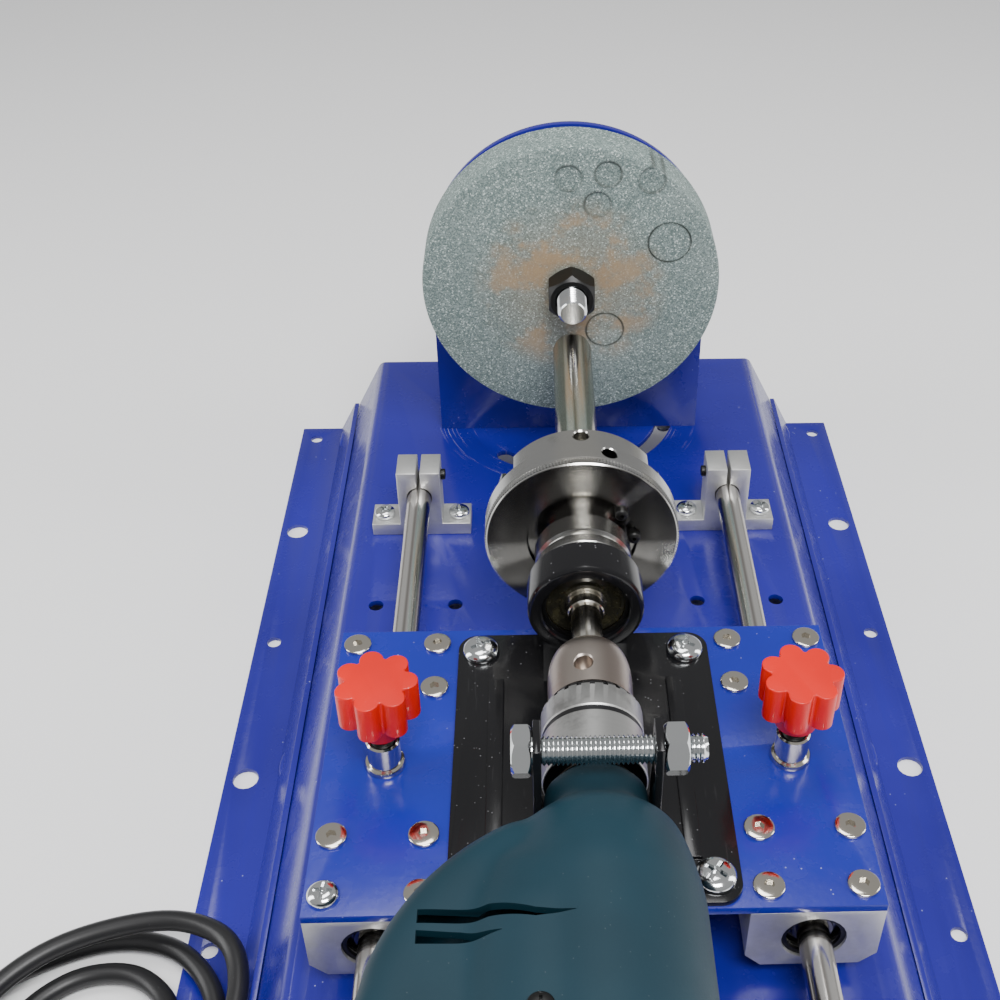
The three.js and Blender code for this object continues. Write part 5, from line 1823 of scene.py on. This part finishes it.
@dataclass
class PowerDrill:
    """The clamped drill, lying on its side, with its trigger."""

    dresser: Dresser
    axis: float = 70.0
    wall: float = 2.6
    voxel: float = 1.3
    grip_half: float = 17.0

    def build(self) -> None:
        """Makes all of the drill's pieces."""
        outer = self.body(0.0)
        Shop.modify(outer, "REMESH", mode="VOXEL", voxel_size=self.voxel * MM, adaptivity=0.0)
        Shop.modify(outer, "SMOOTH", factor=0.5, iterations=34)
        Shop.cut(outer, self.body(self.wall), *self.openings())
        self.halves(outer)
        self.screws()
        self.trigger()
        self.dresser.repaint("drill_armature", COPPER)

    def outline(self, inset: float) -> list[tuple[float, float]]:
        """Outline of the flank and grip, seen from above.

        Args:
            inset: How far inside the outer surface.

        Returns:
            Machine X and Y pairs.
        """

        def bow(a: Point, b: Point, c: Point, steps: int) -> list[Point]:
            """Points of a quadratic curve after its start."""
            out = []
            for i in range(1, steps + 1):
                t = i / steps
                out.append(
                    tuple((1 - t) ** 2 * p + 2 * t * (1 - t) * q + t * t * r for p, q, r in zip(a, b, c))
                )
            return out

        i = inset
        points = [(-4.0, -228.0 - i), (-23.0 + i, -224.0 - i)]
        points += bow(points[-1], (-50.0 + i, -238.0), (-59.0 + i, -267.0 - i), 8)
        points += bow(points[-1], (-60.0, -286.0), (-74.0, -286.0 - i), 5)
        points += [(-139.0 + i, -296.0 - i), (-139.0 + i, -340.0 + i), (-40.0, -334.0 + i), (-4.0, -330.0)]
        return points

    def body(self, inset: float) -> bpy.types.Object:
        """Barrel, collar and grip in one solid.

        Args:
            inset: Nought for the outside, the wall for the inside.

        Returns:
            The solid.
        """
        i = inset
        steps = [
            (17.0 - i, -219.0 - i), (23.0 - i, -225.0), (25.5 - i, -234.0), (27.5 - i, -245.0),
            (27.5 - i, -348.0), (26.8 - i, -358.0),
        ]
        steps += [(23.5 - i, -367.0), (18.0 - i, -373.0), (10.0 - i, -377.0 + i)]
        barrel = Shop.turn("drill_body" if not i else "inside", steps, (0, 0, self.axis), Axis.Y, 64)
        half = self.grip_half - i
        grip = Shop.prism("grip", self.outline(i), self.axis - half, self.axis + half)
        Shop.soften(grip, 8.0 - i, 5, 60.0)
        swell = [
            (8.0 - i, -227.0 - i), (16.0 - i, -232.0), (22.0 - i, -242.0), (25.0 - i, -256.0),
            (25.0 - i, -345.0), (20.0 - i, -358.0 + i),
        ]
        cheek = Shop.turn("cheek", swell, (-14.0, 0, self.axis), Axis.Y, 64)
        collar = Shop.turn(
            "collar",
            [(15.0 if not i else 6.0, -221.0), (15.0 if not i else 6.0, -206.05 if not i else -200.0)],
            (0, 0, self.axis), Axis.Y, 64,
        )
        return Shop.join(barrel, grip, cheek, collar)

    def openings(self) -> list[bpy.types.Object]:
        """Vent slots in the flank and barrel, and the trigger's window."""
        tools = []
        for line in (
            ((-46.0, -256.8, 2.0), (-28.4, -257.9, 1.9), (-17.0, -261.5, 1.2), (-7.4, -262.2, 0.1)),
            ((-46.0, -262.7, 1.9), (-35.0, -263.4, 1.5), (-25.0, -264.6, 0.1)),
        ):
            corners = [(x, y - half) for x, y, half in line] + [
                (x, y + half) for x, y, half in reversed(line)
            ]
            tools.append(Shop.prism("vent", corners, self.axis + 10, self.axis + 40))
        for i in range(5):
            y = -340.0 - 5.0 * i
            for side in (-1, 1):
                tools.append(
                    Shop.block(
                        "vent", (min(side * 20, side * 32), y - 1.1, self.axis - 9),
                        (max(side * 20, side * 32), y + 1.1, self.axis + 9),
                    )
                )
        tools.append(Shop.block("window", (-96.3, -304.0, self.axis - 6.3), (-67.7, -276.0, self.axis + 6.3)))
        return tools

    def halves(self, body: bpy.types.Object) -> None:
        """Splits the shell at the axis into its upper and lower half."""
        for label, sign in (("upper", 1), ("lower", -1)):
            half = Shop.copy(body, f"drill_housing_{label}_moulded", Matrix.Identity(4))
            level = Machine.part(0, 0, self.axis + sign * 0.12)
            Shop.edit(
                half,
                lambda: bpy.ops.mesh.bisect(
                    plane_co=level,
                    plane_no=(0, 0, 1),
                    use_fill=True,
                    clear_inner=sign > 0,
                    clear_outer=sign < 0,
                ),
            )
            Shop.soften(half, 0.3, 1, 55.0)
            self.dresser.place(
                half, "carriage", TEAL, "teal_plastic", [f"drill_housing_{label}"], smooth=40.0
            )
        bpy.data.objects.remove(body)

    def screws(self) -> None:
        """Housing screws set on the shell."""
        spots = [(-16.0, -286.0, 24.0), (-70.0, -318.0, 15.6), (-125.0, -305.0, 15.6), (-125.0, -331.0, 15.6)]
        places = [(str(i + 1), stand(x, y, self.axis + z, 33 * i)) for i, (x, y, z) in enumerate(spots)]
        Screw("housing_screw", 3.3, 2.0, Drive.CROSS, DARK, "black_oxide", 0.5).drive_in(
            self.dresser, "carriage", places
        )

    def trigger(self) -> None:
        """Trigger with a finger curve."""
        corners = [
            (-96.0, -295.0), (-68.0, -295.0), (-68.0, -283.0), (-72.0, -281.2), (-82.0, -283.4),
            (-92.0, -281.2), (-96.0, -283.0),
        ]
        trigger = Shop.prism("drill_trigger_curved", corners, self.axis - 6.0, self.axis + 6.0)
        Shop.soften(trigger, 1.2, 3, 20.0)
        self.dresser.place(trigger, "trigger", SOFT_BLACK, "black_plastic", ["drill_trigger"])


@dataclass
class Cord:
    """The drill's free mains lead: a loose route, a stored coil and a plug."""

    dresser: Dresser
    radius: float = 3.5
    floor: float = -41.5
    exit_x: float = -179.6
    exit_y: float = -318.0
    axis: float = 70.0
    coil_x: float = -205.0
    coil_y: float = -345.0
    coil_r: float = 38.5
    step: float = 3.65
    plug_x: float = -169.0
    plug_y: float = -391.0
    plug_z: float = -35.0
    plug_length: float = 38.0
    plug_half_width: float = 13.0
    plug_half_height: float = 10.0

    def route(self) -> list[Place]:
        """The chosen points from the strain relief to the coil, as in the CAD."""
        f = self.floor
        coil_start = self.coil_x - self.coil_r
        coil_half = 2 * self.radius + 0.3
        end_y = self.coil_y + math.sqrt(
            (self.coil_r + coil_half) ** 2 - (self.coil_r - self.radius) ** 2
        ) + 0.3
        return [
            (self.exit_x, self.exit_y, self.axis),
            (-196, -318, 69),
            (-213, -317, 61),
            (-230, -314, 42),
            (-242, -308, 10),
            (-250, -297, -18),
            (-253, -280, -35),
            (-249, -257, f + 0.8),
            (-237, -230, f + 0.3),
            (-217, -206, f + 0.3),
            (-191, -186, f + 0.3),
            (-164, -177, f + 1),
            (-140, -183, f + 3),
            (-125, -201, f + 3),
            (-124, -224, f + 3),
            (-137, -245, f + 3),
            (-161, -255, f + 1.5),
            (-186, -248, f + 3),
            (-201, -229, f + 6),
            (-200, -206, f + 9),
            (-185, -189, f + 11),
            (-162, -180, f + 13),
            (-138, -179, f + 15),
            (-120, -189, f + 17),
            (-114, -208, f + 17),
            (-119, -230, f + 16),
            (-135, -246, f + 13),
            (-157, -252, f + 10),
            (-179, -244, f + 5),
            (-192, -226, f + 0.5),
            (-189, -205, f + 0.3),
            (-174, -191, f + 0.3),
            (-154, -191, f + 2),
            (-139, -205, f + 5),
            (-138, -226, f + 10),
            (-152, -244, f + 17),
            (-175, -257, f + 16),
            (-204, -266, f + 7),
            (-229, -280, f + 0.8),
            (-241, -296, f + 0.3),
            (coil_start, end_y, f + 0.3),
        ]

    def coil(self) -> list[Place]:
        """Four turns, two wide and two high, then a lead towards the plug."""
        lanes = ((1, 0), (-1, 0), (-1, 1), (1, 1))
        lift = 2 * self.radius + 0.1
        points = []
        per_turn = 36
        for i in range(2, 4 * per_turn + per_turn // 4 - 1):
            turn, share = divmod(i / per_turn, 1.0)
            here = lanes[min(int(turn), 3)]
            following = lanes[min(int(turn) + 1, 3)]
            ease = max(0.0, min(1.0, (share - 0.78) / 0.22))
            ease = ease * ease * (3 - 2 * ease)
            lane = here[0] + (following[0] - here[0]) * ease
            level = here[1] + (following[1] - here[1]) * ease
            angle = math.pi + 2 * math.pi * i / per_turn
            r = self.coil_r + lane * self.step
            points.append(
                (
                    self.coil_x + r * math.cos(angle), self.coil_y + r * math.sin(angle),
                    self.floor + 0.1 + level * lift,
                )
            )
        points.append((self.coil_x + 16, self.coil_y - self.coil_r - 5.2, self.floor + 0.1 + lift))
        points.append((self.plug_x - 6, self.plug_y, self.plug_z))
        points.append((self.plug_x + 0.5, self.plug_y, self.plug_z))
        return points

    @staticmethod
    def smoothed(points: Sequence[Place], spacing: float) -> list[Vector]:
        """A centripetal spline through the points, sampled evenly enough to be round.

        Args:
            points: Machine points in millimetres.
            spacing: Distance between samples in millimetres.

        Returns:
            Part points in metres.
        """
        knots = [Machine.part(*p) for p in points]
        ends = [knots[0] * 2 - knots[1], *knots, knots[-1] * 2 - knots[-2]]
        out: list[Vector] = []
        for a, b, c, d in zip(ends, ends[1:], ends[2:], ends[3:]):
            t1 = (b - a).length ** 0.5
            t2 = t1 + (c - b).length ** 0.5
            t3 = t2 + (d - c).length ** 0.5
            count = max(2, round((c - b).length / (spacing * MM)))
            for i in range(count):
                t = t1 + (t2 - t1) * i / count
                ab = a * ((t1 - t) / t1) + b * (t / t1)
                bc = b * ((t2 - t) / (t2 - t1)) + c * ((t - t1) / (t2 - t1))
                cd = c * ((t3 - t) / (t3 - t2)) + d * ((t - t2) / (t3 - t2))
                abc = ab * ((t2 - t) / t2) + bc * (t / t2)
                bcd = bc * ((t3 - t) / (t3 - t1)) + cd * ((t - t1) / (t3 - t1))
                out.append(abc * ((t2 - t) / (t2 - t1)) + bcd * ((t - t1) / (t2 - t1)))
        return out + [knots[-1]]

    def relief(self) -> bpy.types.Object:
        """Tapered strain relief with bending ribs."""
        steps = [(4.4, -40.0)]
        for i in range(7):
            x = -37.5 + 4.6 * i
            swell = 4.45 + 0.21 * i
            steps += [
                (swell + 0.1, x), (swell + 0.1, x + 2.0), (swell - 0.55, x + 2.3), (swell - 0.5, x + 4.3)
            ]
        steps += [(6.9, -5.0), (7.0, -4.6), (7.0, -0.4), (6.6, 0.0)]
        at = (self.exit_x + 40.3, self.exit_y, self.axis)
        relief = Shop.turn("cord_strain_relief_ribbed", steps, at, Axis.X, 40)
        return self.dresser.place(relief, "carriage", RUBBER, "black_rubber", ["cord_strain_relief"])

    def tie(self) -> bpy.types.Object:
        """A strap round the coil's bundle, with its buckle on the outside."""
        half = self.step + self.radius + 0.2
        near, far = self.coil_y + self.coil_r - half, self.coil_y + self.coil_r + half
        low, high = self.floor - self.radius + 0.05, self.floor + 3 * self.radius + 0.4
        strap = Shop.block(
            "cord_tie", (self.coil_x - 4, near - 1.0, low - 0.2), (self.coil_x + 4, far + 1.0, high + 1.0)
        )
        Shop.soften(strap, 2.2, 4, 60.0)
        hollow = Shop.block("hollow", (self.coil_x - 9, near, low + 0.1), (self.coil_x + 9, far, high))
        Shop.soften(hollow, 1.6, 4, 60.0)
        buckle = Shop.block(
            "buckle", (self.coil_x - 5, far + 0.2, low + 5), (self.coil_x + 5, far + 2.6, high - 3)
        )
        Shop.soften(buckle, 0.6, 2, 60.0)
        Shop.cut(strap, hollow)
        Shop.join(strap, buckle)
        return self.dresser.place(strap, "carriage", SOFT_BLACK, "black_rubber")

    def build(self) -> None:
        points = self.smoothed([*self.route(), *self.coil()], 2.5)
        for _ in range(4):
            inner = [(a + b * 2 + c) / 4 for a, b, c in zip(points, points[1:], points[2:])]
            points = [points[0], points[1], *inner[1:-1], points[-2], points[-1]]
        curve = bpy.data.curves.new("power_lead", "CURVE")
        curve.dimensions = "3D"
        curve.bevel_depth = self.radius * MM
        curve.bevel_resolution = 5
        curve.use_fill_caps = True
        spline = curve.splines.new("POLY")
        spline.points.add(len(points) - 1)
        for slot, point in zip(spline.points, points):
            slot.co = (*point, 1.0)
        spline.use_smooth = True
        lead = bpy.data.objects.new("power_lead", curve)
        bpy.context.scene.collection.objects.link(lead)
        curve.materials.append(RUBBER.material())
        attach(lead, "carriage")
        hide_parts("power_cord", "cord_coil")
        length = sum((b - a).length for a, b in zip(points, points[1:]))
        LOG.info("the lead is %.3f m long", length)
        self.relief()
        self.tie()
        self.plug()

    def plug(self) -> list[bpy.types.Object]:
        """Two-pin plug with finger grips and a ribbed tail, and its pins."""
        x0, x1, y, z = self.plug_x, self.plug_x + self.plug_length, self.plug_y, self.plug_z
        half, thick = self.plug_half_width, self.plug_half_height
        body = Shop.block("power_plug_moulded", (x0 + 8, y - half, z - thick), (x1, y + half, z + thick))
        Shop.soften(body, 4.5, 4, 60.0)
        tail = Shop.turn(
            "tail",
            [
                (5.0, x0), (5.6, x0 + 2.4), (5.2, x0 + 2.8), (6.2, x0 + 5.4), (5.8, x0 + 5.8),
                (7.4, x0 + 9), (7.4, x0 + 14),
            ],
            (0, y, z), Axis.X, 32,
        )
        Shop.join(body, tail)
        tools = []
        for i in range(4):
            for sign in (-1, 1):
                edge = y + sign * half
                tools.append(
                    Shop.block(
                        "groove", (x0 + 15 + 4 * i, edge - 0.7, z - 7), (x0 + 17 + 4 * i, edge + 0.7, z + 7)
                    )
                )
        Shop.cut(body, *tools)
        pieces = [self.dresser.place(body, "carriage", SOFT_BLACK, "black_rubber", ["power_plug"])]
        for i, offset in enumerate((-9.5, 9.5)):
            pin = Shop.turn(
                f"plug_pin_{i + 1}", [(2.0, x1 - 3), (2.0, x1 + 17.8), (1.1, x1 + 19.0)],
                (0, y + offset, z), Axis.X, 24,
            )
            pieces.append(self.dresser.place(pin, "carriage", ZINC, "zinc_plate"))
        return pieces


# ---------------------------------------------------------------------------
# Studio
# ---------------------------------------------------------------------------


@dataclass
class Studio:
    """Camera, pale floor and soft light."""

    eye: Place = (-15.1, -449.5, 367.5)
    heading: float = 0.033
    dip: float = 0.665
    roll: float = 0.007
    lens: float = 47.88
    shift: tuple[float, float] = (-0.0726, -0.0045)

    def camera(self) -> None:
        """Sets the camera at the viewing angle."""
        forward = Vector(
            (
                math.sin(self.heading) * math.cos(self.dip), math.cos(self.heading) * math.cos(self.dip),
                -math.sin(self.dip),
            )
        )
        level = Vector((math.cos(self.heading), -math.sin(self.heading), 0.0))
        rise = level.cross(forward)
        right = level * math.cos(self.roll) + rise * math.sin(self.roll)
        up = rise * math.cos(self.roll) - level * math.sin(self.roll)
        data = bpy.data.cameras.new("camera")
        data.sensor_width = 36.0
        data.lens = self.lens
        data.shift_x, data.shift_y = self.shift
        data.clip_start, data.clip_end = 0.01, 20.0
        eye = bpy.data.objects.new("camera", data)
        bpy.context.scene.collection.objects.link(eye)
        matrix = Matrix((right, up, -forward)).transposed().to_4x4()
        matrix.translation = Machine.part(*self.eye)
        eye.matrix_world = matrix
        bpy.context.scene.camera = eye

    def area(self, name: str, at: Place, target: Place, size: tuple[float, float], power: float) -> None:
        """One soft rectangular light.

        Args:
            name: The light's name.
            at: Its machine place.
            target: Machine point that it faces.
            size: Its sides in metres.
            power: Watts.
        """
        data = bpy.data.lights.new(name, "AREA")
        data.shape = "RECTANGLE"
        data.size, data.size_y = size
        data.energy = power
        light = bpy.data.objects.new(name, data)
        bpy.context.scene.collection.objects.link(light)
        spot = Machine.part(*at)
        aim = Machine.part(*target) - spot
        light.matrix_world = Matrix.Translation(spot) @ aim.to_track_quat("-Z", "Y").to_matrix().to_4x4()

    def build(self) -> None:
        """Floor, sky and lights."""
        Shop.clear()
        bpy.ops.mesh.primitive_plane_add(size=9.0, location=(0, 0, 0))
        floor = bpy.context.object
        floor.name = "studio_floor"
        floor.data.materials.append(FLOOR.material())
        world = bpy.data.worlds.new("studio")
        world.use_nodes = True
        world.node_tree.nodes["Background"].inputs["Color"].default_value = (1.0, 1.0, 1.0, 1.0)
        world.node_tree.nodes["Background"].inputs["Strength"].default_value = 0.4
        bpy.context.scene.world = world
        self.area("front_key", (150, -750, 1150), (0, 0, 40), (0.6, 0.4), 20.0)
        self.area("overhead", (-100, 100, 1300), (0, 0, 40), (0.7, 0.4), 6.0)
        self.area("left_bank", (-1000, -150, 450), (0, -20, 40), (0.3, 1.0), 6.0)
        self.area("right_bank", (1000, -50, 450), (0, -20, 40), (0.3, 1.0), 5.0)


def main() -> None:
    """Loads the frame, builds every sub-assembly and reports."""
    logging.basicConfig(level=logging.INFO, format="%(name)s: %(message)s")
    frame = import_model()
    dresser = Dresser(frame["nodes"])
    studio = Studio()
    studio.camera()
    Cord(dresser).build()
    Base(dresser).build()
    GrindingHead(dresser).build()
    Carriage(dresser).build()
    WorkSpindle(dresser).build()
    PowerDrill(dresser).build()
    studio.build()
    LOG.info("%d pieces finished", dresser.count)


if __name__ == "__main__":
    main()
